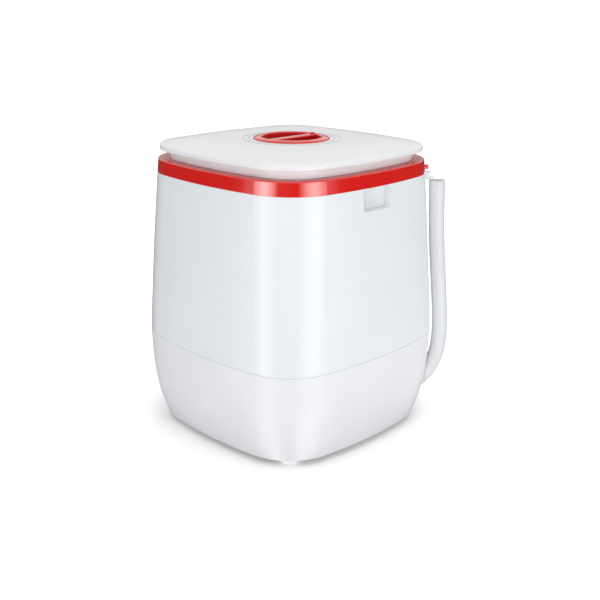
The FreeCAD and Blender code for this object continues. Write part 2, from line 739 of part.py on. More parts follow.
def make_lid_liner():
    """Under-tray of the lid: the collar that drops into the rim, its flange and the bolt guides."""
    inner = COLLAR_INSET + COLLAR_WALL
    flange_edge = LID_SETBACK + COVER_WALL + SLACK
    flange_top = LID_BOTTOM + FLANGE_THICK
    collar = ring_around(TUB_TOP_HALF, [
        (COLLAR_INSET, SEAL_TOP), (COLLAR_INSET, LID_BOTTOM), (flange_edge, LID_BOTTOM),
        (flange_edge, flange_top), (inner, flange_top), (inner, SEAL_TOP)])
    tray = outline_plate(TUB_TOP_HALF, SEAL_TOP, LINER_TOP, COLLAR_INSET + COLLAR_WALL / 2)
    guide_x = BOLT_WIDTH / 2 + SLACK
    guide_top = BOLT_HIGH + SLACK
    guide_end = TUB_TOP_HALF - inner - GUIDE_STOP
    guide = block(guide_x, guide_x + GUIDE_THICK, GUIDE_INNER, guide_end, LINER_TOP, guide_top)
    guides = []
    for side in (guide, guide.mirror(AXIS, ALONG_X)):
        guides += [side, turn_copy(side, 180)]
    liner = joined([collar, tray] + guides)
    slot = block(-guide_x, guide_x, TUB_TOP_HALF - inner - ROOM, TUB_TOP_HALF, LINER_TOP, guide_top)
    liner = liner.cut([slot, turn_copy(slot, 180)])
    for x, y in lid_boss_places():
        liner = liner.cut(screw_hole(x, y, SEAL_TOP, LINER_TOP))
        liner = liner.cut(rod(SCREW_HEAD + SLACK, SEAL_TOP, SEAL_TOP + LINER_THICK / 2, x, y))
    return liner


def make_lid_screws():
    seat = SEAL_TOP + LINER_THICK / 2
    return [screw(x, y, seat, LID_BOTTOM - seat - ROOM) for x, y in lid_boss_places()]


def make_bolt_keepers():
    """Two straps across the guides that hold the bolts down."""
    half_width = BOLT_WIDTH / 2 + SLACK + GUIDE_THICK
    low = BOLT_HIGH + SLACK
    strap = block(-half_width, half_width, KEEPER_PLACE - KEEPER_DEPTH / 2, KEEPER_PLACE + KEEPER_DEPTH / 2,
                  low, low + KEEPER_THICK)
    strap = round_edges_along(strap, UP, GUIDE_THICK)
    return [strap, turn_copy(strap, 180)]


def make_lock_knob():
    """Red turning handle: a sunk dish, a rim that falls to its edge, a grip bar across and a pointer."""
    dish = KNOB_RADIUS - KNOB_RIM_WIDTH
    ridge = KNOB_RADIUS - KNOB_RIM_SLOPE
    edge_top = KNOB_TOP - KNOB_RIM_FALL
    body = turned([
        (0.0, KNOB_LOW), (KNOB_RADIUS - KNOB_RIM_ROUND, KNOB_LOW), (KNOB_RADIUS, KNOB_LOW + KNOB_RIM_ROUND),
        (KNOB_RADIUS, edge_top), (ridge, KNOB_TOP), (dish, KNOB_TOP), (dish - KNOB_FLOOR, KNOB_DISH),
        (0.0, KNOB_DISH)])
    for radius, height, rounding in ((KNOB_RADIUS, edge_top, KNOB_EDGE_ROUND), (ridge, KNOB_TOP, KNOB_RIDGE_ROUND),
                                     (dish, KNOB_TOP, KNOB_RIM_ROUND)):
        circle = [edge for edge in body.Edges
                  if abs(edge.CenterOfMass.z - height) < FIT and abs(edge.Length - math.tau * radius) < FIT]
        body = body.makeFillet(rounding, circle)
    half_bar = KNOB_BAR_WIDTH / 2
    bar = block(-half_bar, half_bar, -dish - FIT, dish + FIT, KNOB_LOW, KNOB_TOP - KNOB_BAR_DROP)
    bar = bar.common(rod(dish + KNOB_RIM_WIDTH / 2, KNOB_LOW, KNOB_TOP))
    top_edges = [edge for edge in bar.Edges
                 if abs(edge.BoundBox.ZMin - bar.BoundBox.ZMax) < FIT and edge.BoundBox.YLength > dish]
    bar = bar.makeFillet(KNOB_BAR_ROUND, top_edges)
    pointer = block(-POINTER_WIDTH / 2, POINTER_WIDTH / 2,
                    dish - POINTER_LENGTH / 2, dish + POINTER_LENGTH / 2,
                    KNOB_DISH, KNOB_TOP + POINTER_HEIGHT)
    pointer = round_edges_along(pointer, UP, POINTER_ROUND)
    hub = rod(KNOB_HUB_RADIUS, CAM_HIGH, KNOB_LOW + KNOB_FLOOR / 2)
    knob = joined([body, bar, pointer, hub])
    return knob.cut(screw_hole(0.0, 0.0, CAM_HIGH, KNOB_LOW + KNOB_FLOOR / 2))


def cam_slot(start_angle):
    """Slot whose distance from the axis grows evenly with the turn, so that it throws a bolt evenly."""
    width = BOLT_PIN_RADIUS + SLACK
    over = CAM_TURN / CAM_SLOT_STEPS / 3
    near, far = [], []
    for step in range(CAM_SLOT_STEPS + 1):
        turn = -over + (CAM_TURN + 2 * over) * step / CAM_SLOT_STEPS
        radius = CAM_START + BOLT_TRAVEL * turn / CAM_TURN
        near.append(polar(AXIS, radius - width, start_angle - turn, CAM_LOW))
        far.append(polar(AXIS, radius + width, start_angle - turn, CAM_LOW))
    sides = []
    for points in (near, far):
        curve = Part.BSplineCurve()
        curve.interpolate(points)
        sides.append(curve.toShape())
    ends = [Part.LineSegment(near[0], far[0]).toShape(), Part.LineSegment(near[-1], far[-1]).toShape()]
    wire = Part.Wire(Part.sortEdges(sides + ends)[0])
    slot = Part.Face(wire).extrude(Vector(0, 0, CAM_THICK))
    caps = []
    for points in ((near[0], far[0]), (near[-1], far[-1])):
        middle = (points[0] + points[1]) * 0.5
        caps.append(rod(width, CAM_LOW, CAM_HIGH, middle.x, middle.y))
    return slot.multiFuse(caps)


def make_lock_cam():
    """Cam disc under the handle, with one spiral slot for each bolt pin."""
    disc = rod(CAM_RADIUS, CAM_LOW, CAM_HIGH)
    return disc.cut([cam_slot(90.0), cam_slot(270.0), screw_hole(0.0, 0.0, CAM_LOW, CAM_HIGH)])


def make_cam_screw():
    return screw(0.0, 0.0, CAM_LOW, CAM_THICK + KNOB_LOW - CAM_HIGH + KNOB_FLOOR / 2 - ROOM)


def make_rear_bolt():
    """Rear bolt: a flat bar with a drive pin in the cam slot."""
    tip = TUB_TOP_HALF - COLLAR_INSET - ROOM
    bar = block(-BOLT_WIDTH / 2, BOLT_WIDTH / 2, CAM_START - BOLT_HEEL, tip, BOLT_LOW, BOLT_HIGH)
    bar = round_edges_along(bar, UP, BOLT_ROUND)
    return bar.fuse(rod(BOLT_PIN_RADIUS, BOLT_HIGH, CAM_HIGH - SLACK, 0.0, CAM_START))


def make_front_bolt():
    return turn_copy(make_rear_bolt(), 180)


# Pulsator and bearing

def make_pulsator():
    """Ribbed agitator disc on the tub floor, with drain holes and straight vanes."""
    crown = PULSATOR_HIGH + PULSATOR_CROWN
    edge = PULSATOR_THICK / 2
    disc = turned([
        (0.0, PULSATOR_LOW), (PULSATOR_RADIUS - edge, PULSATOR_LOW), (PULSATOR_RADIUS, PULSATOR_LOW + edge),
        (PULSATOR_RADIUS - edge, PULSATOR_HIGH), (PULSATOR_CONE_FOOT, PULSATOR_HIGH),
        (PULSATOR_CONE_TOP, crown), (0.0, crown)])
    vane_top = PULSATOR_LOW + VANE_HEIGHT
    vane_foot = PULSATOR_RADIUS - VANE_SETBACK
    ridge = turned([
        (0.0, PULSATOR_LOW), (vane_foot, PULSATOR_LOW), (vane_foot, PULSATOR_HIGH),
        (vane_foot - VANE_SLOPE, vane_top), (VANE_INNER, vane_top), (VANE_HUB, crown), (0.0, crown)])
    slab = block(0.0, PULSATOR_RADIUS, -VANE_WIDTH / 2, VANE_WIDTH / 2, PULSATOR_LOW, vane_top + ROOM)
    vane = slab.common(ridge)
    vanes = [turn_copy(vane, 360.0 * index / VANE_COUNT) for index in range(VANE_COUNT)]
    pulsator = joined([disc] + vanes)
    holes = []
    for index in range(PULSATOR_HOLES):
        angle = 360.0 * (index + 0.5) / PULSATOR_HOLES
        place = polar(AXIS, PULSATOR_RADIUS - PULSATOR_HOLE_SETBACK, angle, 0)
        holes.append(rod(PULSATOR_HOLE, PULSATOR_LOW, PULSATOR_HIGH, place.x, place.y))
    shaft_seat = rod(SHAFT_RADIUS + FIT, PULSATOR_LOW, shaft_top())
    return pulsator.cut(holes + [shaft_seat, screw_hole(0.0, 0.0, shaft_top(), crown)])


def shaft_top():
    return PULSATOR_HIGH + PULSATOR_CROWN / 2


def make_pulsator_screw():
    crown = PULSATOR_HIGH + PULSATOR_CROWN
    upside_down = screw(0.0, 0.0, -crown, crown - shaft_top() + SHAFT_SCREW)
    return turn_copy(upside_down, 180, AXIS, ALONG_X)


def make_drive_shaft():
    shaft = rod(SHAFT_RADIUS, SHAFT_BOTTOM, shaft_top())
    bore_low = shaft_top() - SHAFT_SCREW - ROOM
    return shaft.cut(screw_hole(0.0, 0.0, bore_low, shaft_top()))


def make_bearing_housing():
    """Flanged bearing tube under the tub floor; its neck comes up through the floor."""
    flange_low = FLOOR_BOTTOM - HOUSING_FLANGE_THICK
    housing = joined([
        rod(HOUSING_RADIUS, HOUSING_BOTTOM, FLOOR_BOTTOM), rod(HOUSING_FLANGE, flange_low, FLOOR_BOTTOM),
        rod(NECK_RADIUS, FLOOR_BOTTOM, FLOOR_TOP + ROOM)])
    cuts = [rod(SHAFT_RADIUS + ROOM, HOUSING_BOTTOM, FLOOR_TOP + ROOM)]
    for low in bush_places():
        cuts.append(rod(BUSH_RADIUS + FIT, low, low + BUSH_LENGTH))
    cuts.append(rod(SEAL_RADIUS + FIT, FLOOR_TOP + ROOM - SEAL_HEIGHT, FLOOR_TOP + ROOM))
    cuts += [screw_hole(x, y, flange_low, FLOOR_BOTTOM) for x, y in housing_screw_places()]
    return housing.cut(cuts)


def bush_places():
    return (HOUSING_BOTTOM, FLOOR_TOP + ROOM - SEAL_HEIGHT - BUSH_LENGTH)


def make_bush(low):
    return tube(BUSH_RADIUS, SHAFT_RADIUS + RUNNING, low, low + BUSH_LENGTH)


def make_lower_bush():
    return make_bush(bush_places()[0])


def make_upper_bush():
    return make_bush(bush_places()[1])


def make_shaft_seal():
    low = FLOOR_TOP + ROOM - SEAL_HEIGHT
    return tube(SEAL_RADIUS, SHAFT_RADIUS + RUNNING, low, FLOOR_TOP + ROOM)


def housing_screw_places():
    places = [polar(AXIS, HOUSING_BOLT_CIRCLE, 90.0 * quarter, 0) for quarter in range(4)]
    return [(place.x, place.y) for place in places]


def sump_screw_places():
    across = SUMP_SCREW_CIRCLE * DIAGONAL
    return [(SUMP_XY - across, SUMP_XY + across), (SUMP_XY + across, SUMP_XY - across)]


def floor_screw_places():
    return housing_screw_places() + sump_screw_places()


def make_floor_screws():
    """Screws that hold the bearing flange and the sump flange up against the tub floor."""
    reach = FLOOR_THICK - FLOOR_SKIN - ROOM
    screws = [screw(x, y, FLOOR_BOTTOM - HOUSING_FLANGE_THICK, HOUSING_FLANGE_THICK + reach)
              for x, y in housing_screw_places()]
    screws += [screw(x, y, FLOOR_BOTTOM - SUMP_FLANGE_THICK, SUMP_FLANGE_THICK + reach)
               for x, y in sump_screw_places()]
    return screws


# Belt drive

def belt_section(pitch, grow):
    """Belt cross-section as (radius, height) points, grown all round for a pulley groove."""
    top = BELT_TOP / 2 + grow
    bottom = BELT_BOTTOM / 2 + grow
    outer = pitch + BELT_PROUD
    inner = outer - BELT_DEEP - grow
    return [(outer, BELT_HEIGHT + top), (outer, BELT_HEIGHT - top), (inner, BELT_HEIGHT - bottom),
            (inner, BELT_HEIGHT + bottom)]


def pulley_rim(pitch):
    return pitch + BELT_PROUD + ROOM


def groove_cut(pitch, x, y):
    outer, inner = belt_section(pitch, SLACK)[0], belt_section(pitch, SLACK)[2]
    mouth = pulley_rim(pitch) + ROOM
    flank = (outer[1] - BELT_HEIGHT) + (mouth - outer[0]) * (BELT_TOP - BELT_BOTTOM) / 2 / BELT_DEEP
    shallow = BELT_HEIGHT - inner[1]
    return turned([(mouth, BELT_HEIGHT + flank), (mouth, BELT_HEIGHT - flank),
                   (inner[0], BELT_HEIGHT - shallow), (inner[0], BELT_HEIGHT + shallow)], x, y)


def make_driven_pulley():
    """Large belt pulley on the pulsator shaft, with lightening holes in its web."""
    rim_inside = BIG_PITCH - BELT_DEEP - PULLEY_RIM
    pulley = joined([
        tube(pulley_rim(BIG_PITCH), rim_inside, PULLEY_LOW, PULLEY_HIGH),
        rod(rim_inside, BELT_HEIGHT - PULLEY_WEB / 2, BELT_HEIGHT + PULLEY_WEB / 2),
        rod(PULLEY_HUB, PULLEY_LOW, PULLEY_HIGH)])
    cuts = [groove_cut(BIG_PITCH, 0.0, 0.0), rod(SHAFT_RADIUS + FIT, PULLEY_LOW, PULLEY_HIGH)]
    web_middle = (PULLEY_HUB + rim_inside) / 2
    for index in range(PULLEY_HOLES):
        place = polar(AXIS, web_middle, 360.0 * index / PULLEY_HOLES, 0)
        cuts.append(rod(PULLEY_HOLE, PULLEY_LOW, PULLEY_HIGH, place.x, place.y))
    return pulley.cut(cuts)


def hexagon(across_flats, low, high, x=0.0, y=0.0):
    corner = across_flats / math.sqrt(3)
    points = [polar(Vector(x, y, 0), corner, 60.0 * index, low) for index in range(7)]
    return Part.Face(Part.makePolygon(points)).extrude(Vector(0, 0, high - low))


def make_pulley_nut():
    low = PULLEY_LOW - NUT_HEIGHT
    return hexagon(NUT_FLATS, low, PULLEY_LOW).cut(rod(SHAFT_RADIUS + FIT, low, PULLEY_LOW))


def make_motor_pulley():
    pulley = motor_rod(pulley_rim(SMALL_PITCH), PULLEY_LOW, PULLEY_HIGH)
    bore = motor_rod(MOTOR_SHAFT_RADIUS + FIT, PULLEY_LOW, PULLEY_HIGH)
    return pulley.cut([groove_cut(SMALL_PITCH, MOTOR_X, MOTOR_Y), bore])


def belt_face(pitch, centre, degrees):
    points = [polar(centre, radius, degrees, height) for radius, height in belt_section(pitch, 0.0)]
    return Part.Face(Part.makePolygon(points + points[:1]))


def make_drive_belt():
    """Closed V-belt: two wrapped arcs joined by the two straight runs between the pulleys."""
    lean = math.degrees(math.asin((BIG_PITCH - SMALL_PITCH) / CENTRE_DISTANCE))
    run = CENTRE_DISTANCE * math.cos(math.radians(lean))
    leave = MOTOR_BEARING_ANGLE + 90 - lean
    arrive = MOTOR_BEARING_ANGLE - 90 + lean
    big = belt_face(BIG_PITCH, AXIS, leave).revolve(AXIS, UP, 180 + 2 * lean)
    small = belt_face(SMALL_PITCH, MOTOR, arrive).revolve(MOTOR, UP, 180 - 2 * lean)
    pieces = [big, small]
    for side, turn in ((leave, -90), (arrive, 90)):
        heading = polar(AXIS, run, side + turn, 0)
        pieces.append(belt_face(BIG_PITCH, AXIS, side).extrude(heading))
    return joined(pieces)


# Motor

def make_motor_stator():
    """Lamination stack with a round bore and four bolt holes."""
    stack = motor_tube(STATOR_RADIUS, ROTOR_RADIUS + AIR_GAP, STATOR_LOW, STATOR_HIGH)
    return stack.cut(through_bolt_holes(STATOR_LOW, STATOR_HIGH))


def through_bolt_places():
    places = [polar(MOTOR, THROUGH_BOLT_CIRCLE, 90.0 * quarter, 0) for quarter in range(4)]
    return [(place.x, place.y) for place in places]


def through_bolt_holes(low, high):
    return [rod(THROUGH_BOLT_RADIUS + FIT, low, high, x, y) for x, y in through_bolt_places()]


def make_motor_windings():
    """Copper coil heads above and below the lamination stack."""
    inner = ROTOR_RADIUS + AIR_GAP + ROOM
    heads = []
    for low in (STATOR_LOW - COIL_THICK, STATOR_HIGH):
        head = motor_tube(COIL_OUTER, inner, low, low + COIL_THICK)
        rims = [edge for edge in head.Edges if len(edge.Vertexes) == 1]
        heads.append(head.makeFillet(COIL_ROUND, rims))
    return heads


def make_motor_cap(low, high, floor_low, seat_low):
    """Cup-shaped end cap: a bored shell with a floor and a bearing seat at its closed end."""
    seat_high = seat_low + MOTOR_BEARING_THICK
    shell = motor_tube(STATOR_RADIUS, COIL_OUTER + ROOM / 2, low, high)
    floor = motor_rod(STATOR_RADIUS, floor_low, floor_low + CAP_WALL)
    boss = motor_rod(MOTOR_BEARING_RADIUS + CAP_WALL, seat_low, seat_high)
    cap = joined([shell, floor, boss])
    seat = motor_rod(MOTOR_BEARING_RADIUS + FIT, seat_low, seat_high)
    return cap.cut([seat] + through_bolt_holes(low, high))


def make_motor_lower_cap():
    return make_motor_cap(CAP_LOW, STATOR_LOW, CAP_LOW, CAP_LOW)


def make_motor_upper_cap():
    return make_motor_cap(STATOR_HIGH, CAP_HIGH, CAP_HIGH - CAP_WALL, CAP_HIGH - MOTOR_BEARING_THICK)


def make_motor_bearings():
    """Two ball bearings of the motor, drawn as plain rings."""
    bearings = []
    for low in (CAP_LOW, CAP_HIGH - MOTOR_BEARING_THICK):
        high = low + MOTOR_BEARING_THICK
        bearings.append(motor_tube(MOTOR_BEARING_RADIUS, MOTOR_SHAFT_RADIUS + RUNNING, low, high))
    return bearings


def make_motor_rotor():
    return motor_tube(ROTOR_RADIUS, MOTOR_SHAFT_RADIUS + FIT, STATOR_LOW, STATOR_HIGH)


def make_motor_shaft():
    return motor_rod(MOTOR_SHAFT_RADIUS, PULLEY_LOW - MOTOR_SHAFT_TAIL, CAP_HIGH - ROOM)


def make_motor_fan():
    """Cooling fan on the motor shaft, above the pulley."""
    hub = motor_rod(MOTOR_SHAFT_RADIUS + CAP_WALL, FAN_LOW, FAN_HIGH)
    disc = motor_rod(FAN_RADIUS, FAN_HIGH - FAN_DISC, FAN_HIGH)
    half_blade = FAN_BLADE_THICK / 2
    blade = block(MOTOR_X, MOTOR_X + FAN_RADIUS - ROOM, MOTOR_Y - half_blade, MOTOR_Y + half_blade,
                  FAN_LOW, FAN_HIGH)
    blades = [turn_copy(blade, 360.0 * index / FAN_BLADES, MOTOR) for index in range(FAN_BLADES)]
    fan = joined([hub, disc] + blades)
    return fan.cut(motor_rod(MOTOR_SHAFT_RADIUS + FIT, FAN_LOW, FAN_HIGH))


def bracket_corners():
    """Fixing points of the motor plate, whose sides run along and across the line to the pulsator axis."""
    reach = (BRACKET_HALF - GROMMET_RADIUS) / DIAGONAL
    places = [polar(MOTOR, reach, MOTOR_BEARING_ANGLE + 45 + 90.0 * quarter, 0) for quarter in range(4)]
    return [(place.x, place.y) for place in places]


def make_motor_bracket():
    """Square steel plate that hangs the motor under the tub floor."""
    plate = block(MOTOR_X - BRACKET_HALF, MOTOR_X + BRACKET_HALF,
                  MOTOR_Y - BRACKET_HALF, MOTOR_Y + BRACKET_HALF, BRACKET_LOW, BRACKET_HIGH)
    plate = turn_copy(round_edges_along(plate, UP, GROMMET_RADIUS), MOTOR_BEARING_ANGLE, MOTOR)
    cuts = [motor_rod(MOTOR_BEARING_RADIUS + CAP_WALL, BRACKET_LOW, BRACKET_HIGH)]
    cuts += through_bolt_holes(BRACKET_LOW, BRACKET_HIGH)
    cuts += [screw_hole(x, y, BRACKET_LOW, BRACKET_HIGH) for x, y in bracket_corners()]
    return plate.cut(cuts)


def make_motor_grommets():
    """Rubber pads between the motor plate and the tub bosses."""
    return [tube(GROMMET_RADIUS, SCREW_RADIUS + FIT, BRACKET_HIGH, BRACKET_HIGH + GROMMET_THICK, x, y)
            for x, y in bracket_corners()]


def make_motor_screws():
    return [screw(x, y, BRACKET_LOW, BRACKET_THICK + GROMMET_THICK + BRACKET_SCREW - ROOM)
            for x, y in bracket_corners()]


def make_motor_bolts():
    """Through bolts that clamp the caps and the stack to the motor plate."""
    bolts = []
    for x, y in through_bolt_places():
        shank = rod(THROUGH_BOLT_RADIUS, CAP_LOW, BRACKET_HIGH, x, y)
        head = hexagon(THROUGH_BOLT_FLATS, CAP_LOW - THROUGH_BOLT_HEAD, CAP_LOW, x, y)
        bolts.append(shank.fuse(head))
    return bolts


# Drain

def diagonal_point(reach, height):
    return Vector(reach * DIAGONAL, reach * DIAGONAL, height)


def hose_points():
    return [diagonal_point(reach, height) for reach, height in HOSE_ROUTE]


def bent_path(points):
    """Straight runs joined by tangent arcs, each as large as its two runs allow."""
    edges = []
    radii = []
    at = points[0]
    for before, corner, after in zip(points, points[1:], points[2:]):
        into = (corner - before).normalize()
        out = (after - corner).normalize()
        trim = BEND_SHARE * min((corner - before).Length, (after - corner).Length)
        half_turn = into.getAngle(out) / 2
        radii.append(trim / math.tan(half_turn))
        start = corner - into * trim
        end = corner + out * trim
        inward = (out - into).normalize()
        middle = corner + inward * (radii[-1] / math.cos(half_turn) - radii[-1])
        edges.append(Part.LineSegment(at, start).toShape())
        edges.append(Part.Arc(start, middle, end).toShape())
        at = end
    edges.append(Part.LineSegment(at, points[-1]).toShape())
    return Part.Wire(edges), radii


def bent_rod(points, radius):
    path, _ = bent_path(points)
    heading = points[1] - points[0]
    circle = Part.Wire(Part.Circle(points[0], heading, radius).toShape())
    return path.makePipeShell([circle], True, False)


def make_drain_hose():
    """Drain hose: on the sump spigot inside the base, out at the corner and up to its parking hook."""
    path, radii = bent_path(hose_points())
    hose = bent_rod(hose_points(), HOSE_RADIUS).cut(bent_rod(hose_points(), HOSE_BORE))
    expected = math.pi * (HOSE_RADIUS ** 2 - HOSE_BORE ** 2) * path.Length
    print("hose length %.1f, radii %s" % (path.Length, [round(radius) for radius in radii]))
    print("hose volume %.0f against section times length %.0f" % (hose.Volume, expected))
    return hose


def make_drain_sump():
    """Sump cup under the tub floor with a flange and a side spigot for the hose."""
    bottom = HOSE_LOW - SUMP_BELOW_HOSE
    flange_low = FLOOR_BOTTOM - SUMP_FLANGE_THICK
    spigot_end = HOSE_START + SPIGOT_IN_HOSE
    sump = joined([
        rod(SUMP_RADIUS, bottom, FLOOR_BOTTOM, SUMP_REACH, 0.0),
        rod(SUMP_FLANGE, flange_low, FLOOR_BOTTOM, SUMP_REACH, 0.0),
        rod_along_x(SPIGOT_RADIUS, SUMP_REACH, spigot_end, 0.0, HOSE_LOW)])
    sump = sump.cut([
        rod(SUMP_RADIUS - SUMP_WALL, bottom + SUMP_WALL, FLOOR_BOTTOM, SUMP_REACH, 0.0),
        rod_along_x(SPIGOT_RADIUS - SPIGOT_WALL, SUMP_REACH, spigot_end, 0.0, HOSE_LOW)])
    sump = on_diagonal(sump)
    return sump.cut([screw_hole(x, y, flange_low, FLOOR_BOTTOM) for x, y in sump_screw_places()])


def make_drain_grate():
    """Perforated disc let into the tub floor over the sump."""
    grate = rod(GRATE_RADIUS, FLOOR_TOP - GRATE_THICK, FLOOR_TOP, SUMP_XY, SUMP_XY)
    centre = Vector(SUMP_XY, SUMP_XY, 0)
    holes = [rod(GRATE_HOLE, FLOOR_TOP - GRATE_THICK, FLOOR_TOP, SUMP_XY, SUMP_XY)]
    for index in range(GRATE_HOLES):
        place = polar(centre, GRATE_PITCH, 360.0 * index / GRATE_HOLES, 0)
        holes.append(rod(GRATE_HOLE, FLOOR_TOP - GRATE_THICK, FLOOR_TOP, place.x, place.y))
    return grate.cut(holes)


def make_hose_clamp():
    """Spring band round the hose where it sits on the spigot, with two pinch ears."""
    inner = HOSE_RADIUS + CLAMP_SLACK
    outer = inner + CLAMP_THICK
    near = HOSE_START + CLAMP_ON_HOSE - CLAMP_WIDTH / 2
    far = near + CLAMP_WIDTH
    ear_top = HOSE_LOW + outer + CLAMP_EAR
    band = rod_along_x(outer, near, far, 0.0, HOSE_LOW)
    ears = block(near, far, -2 * CLAMP_THICK, 2 * CLAMP_THICK, HOSE_LOW, ear_top)
    gap = block(near, far, -CLAMP_THICK, CLAMP_THICK, HOSE_LOW, ear_top)
    clamp = band.fuse(ears).cut([rod_along_x(inner, near, far, 0.0, HOSE_LOW), gap])
    return on_diagonal(clamp)


def make_hose_hook():
    """White lug at the tub's rear right corner; its finger sits in the open end of the hose."""
    high = TUB_TOP - HOOK_DROP
    low = high - HOOK_HEIGHT
    bridge_low = low - HOOK_BRIDGE_DROP
    bridge_high = bridge_low + HOOK_BRIDGE_THICK
    surface = corner_reach(tub_half(high))
    root = surface - WALL
    finger_near = surface + HOOK_FINGER_OUT
    finger_far = finger_near + HOOK_FINGER_THICK
    half_finger = HOOK_FINGER_WIDTH / 2
    arm = block(root, surface + HOOK_LENGTH, -HOOK_WIDTH / 2, HOOK_WIDTH / 2, low, high)
    arm = round_edges_along(arm, UP, HOOK_ROUND)
    bridge = block(root, finger_far, -half_finger, half_finger, bridge_low, bridge_high)
    finger = block(finger_near, finger_far, -half_finger, half_finger,
                   bridge_low - HOOK_FINGER_LENGTH, bridge_high)
    hook = on_diagonal(joined([arm, bridge, finger]))
    return hook.cut(swelling_body(tub_half, SEAM_HEIGHT, TUB_TOP, -FIT))


def peg_height():
    return TUB_TOP + PEG_ABOVE


def peg_surface():
    return corner_reach(TUB_TOP_HALF) - BAND_LEAN * PEG_ABOVE / BAND_HEIGHT


def peg_hole():
    inner = peg_surface() - PLUG_INSET - PLUG_THICK - ROOM
    return on_diagonal(rod_along_x(PEG_SHANK + FIT, inner, peg_surface() + ROOM, 0.0, peg_height()))


def make_hook_peg():
    """Red stud on the band above the hose hook."""
    tip = peg_surface() + PEG_STAND
    shank = rod_along_x(PEG_SHANK, peg_surface() - PLUG_INSET, tip - ROOM, 0.0, peg_height())
    head = rod_along_x(PEG_RADIUS, peg_surface() + SLACK, tip, 0.0, peg_height())
    head = head.makeFillet(PEG_ROUND, [head.Edges[0]])
    return on_diagonal(shank.fuse(head))


# Switch, gland and wiring

def make_switch_housing():
    """Rocker switch body with its bezel on the rear panel; the key sits in its cavity."""
    face = panel_face()
    half_width = SWITCH_WIDTH / 2
    half_height = SWITCH_HEIGHT / 2
    cavity_half = KEY_WIDTH / 2 + SLACK
    body = block(SWITCH_X - half_width, SWITCH_X + half_width, face - SWITCH_DEPTH, face,
                 PANEL_Z - half_height, PANEL_Z + half_height)
    bezel = block(SWITCH_X - half_width - BEZEL_EDGE, SWITCH_X + half_width + BEZEL_EDGE,
                  face, face + BEZEL_THICK,
                  PANEL_Z - half_height - BEZEL_EDGE, PANEL_Z + half_height + BEZEL_EDGE)
    bezel = round_edges_along(bezel, ALONG_Y, BEZEL_EDGE)
    cavity = block(SWITCH_X - cavity_half, SWITCH_X + cavity_half,
                   face - KEY_RADIUS - ROOM, face + BEZEL_THICK,
                   PANEL_Z - KEY_RADIUS - SLACK, PANEL_Z + KEY_RADIUS + SLACK)
    pin_half = cavity_half + KEY_PIN
    pin_hole = rod_along_x(KEY_PIN + RUNNING, SWITCH_X - pin_half, SWITCH_X + pin_half, face, PANEL_Z)
    return joined([body, bezel]).cut([cavity, pin_hole])


def make_switch_key():
    """Rocker key: a drum segment with a flat face, tipped to its off side, on two stub pins."""
    face = panel_face()
    left = SWITCH_X - KEY_WIDTH / 2
    right = SWITCH_X + KEY_WIDTH / 2
    drum = rod_along_x(KEY_RADIUS, left, right, face, PANEL_Z)
    drum = drum.cut(block(left, right, face + KEY_FACE, face + 2 * KEY_RADIUS,
                          PANEL_Z - KEY_RADIUS, PANEL_Z + KEY_RADIUS))
    pins = rod_along_x(KEY_PIN, left - KEY_PIN, right + KEY_PIN, face, PANEL_Z)
    return turn_copy(joined([drum, pins]), -KEY_TILT, Vector(left, face, PANEL_Z), ALONG_X)


def make_cord_gland():
    """Cable gland on the rear panel: flange and nose outside, nut inside, with the cable bore through."""
    face = panel_face()
    inside = face - PANEL_THICK
    back = inside - GLAND_THREAD
    flange_face = face + GLAND_FLANGE_THICK
    nose = flange_face + GLAND_NOSE
    gland = joined([
        rod_along_y(GLAND_RADIUS, back, nose, GLAND_X, PANEL_Z),
        rod_along_y(GLAND_FLANGE, face, flange_face, GLAND_X, PANEL_Z),
        rod_along_y(GLAND_FLANGE, inside - GLAND_NUT, inside, GLAND_X, PANEL_Z)])
    return gland.cut(rod_along_y(GLAND_BORE, back, nose, GLAND_X, PANEL_Z))


def make_capacitor():
    """Motor run capacitor: a can with a crimped top."""
    x, y = CAPACITOR_PLACE
    can = rod(CAPACITOR_RADIUS, PLATE_TOP, PLATE_TOP + CAPACITOR_HEIGHT, x, y)
    return can.makeFillet(CAPACITOR_ROUND, [can.Edges[0]])


def make_capacitor_clip():
    """Steel band that holds the capacitor, with a foot on the tray."""
    x, y = CAPACITOR_PLACE
    inner = CAPACITOR_RADIUS + SLACK
    outer = inner + CLIP_THICK
    foot = block(x, x + outer + CLIP_HEIGHT, y - CLIP_HEIGHT / 2, y + CLIP_HEIGHT / 2,
                 PLATE_TOP, PLATE_TOP + CLIP_THICK)
    band = rod(outer, PLATE_TOP, PLATE_TOP + CLIP_HEIGHT, x, y).fuse(foot)
    return band.cut(rod(inner, PLATE_TOP, PLATE_TOP + CLIP_HEIGHT, x, y))


def make_terminal_block():
    """Screw terminal strip on the tray, with a row of wire entries."""
    x, y = TERMINAL_PLACE
    length, depth, height = TERMINAL_SIZE
    top = PLATE_TOP + height
    strip = block(x - length / 2, x + length / 2, y - depth / 2, y + depth / 2, PLATE_TOP, top)
    strip = round_edges_along(strip, UP, TERMINAL_ROUND)
    holes = []
    for way in range(TERMINAL_WAYS):
        along = x + length * ((way + 0.5) / TERMINAL_WAYS - 0.5)
        holes.append(rod(TERMINAL_HOLE, PLATE_TOP + height / 2, top, along, y))
    return strip.cut(holes)


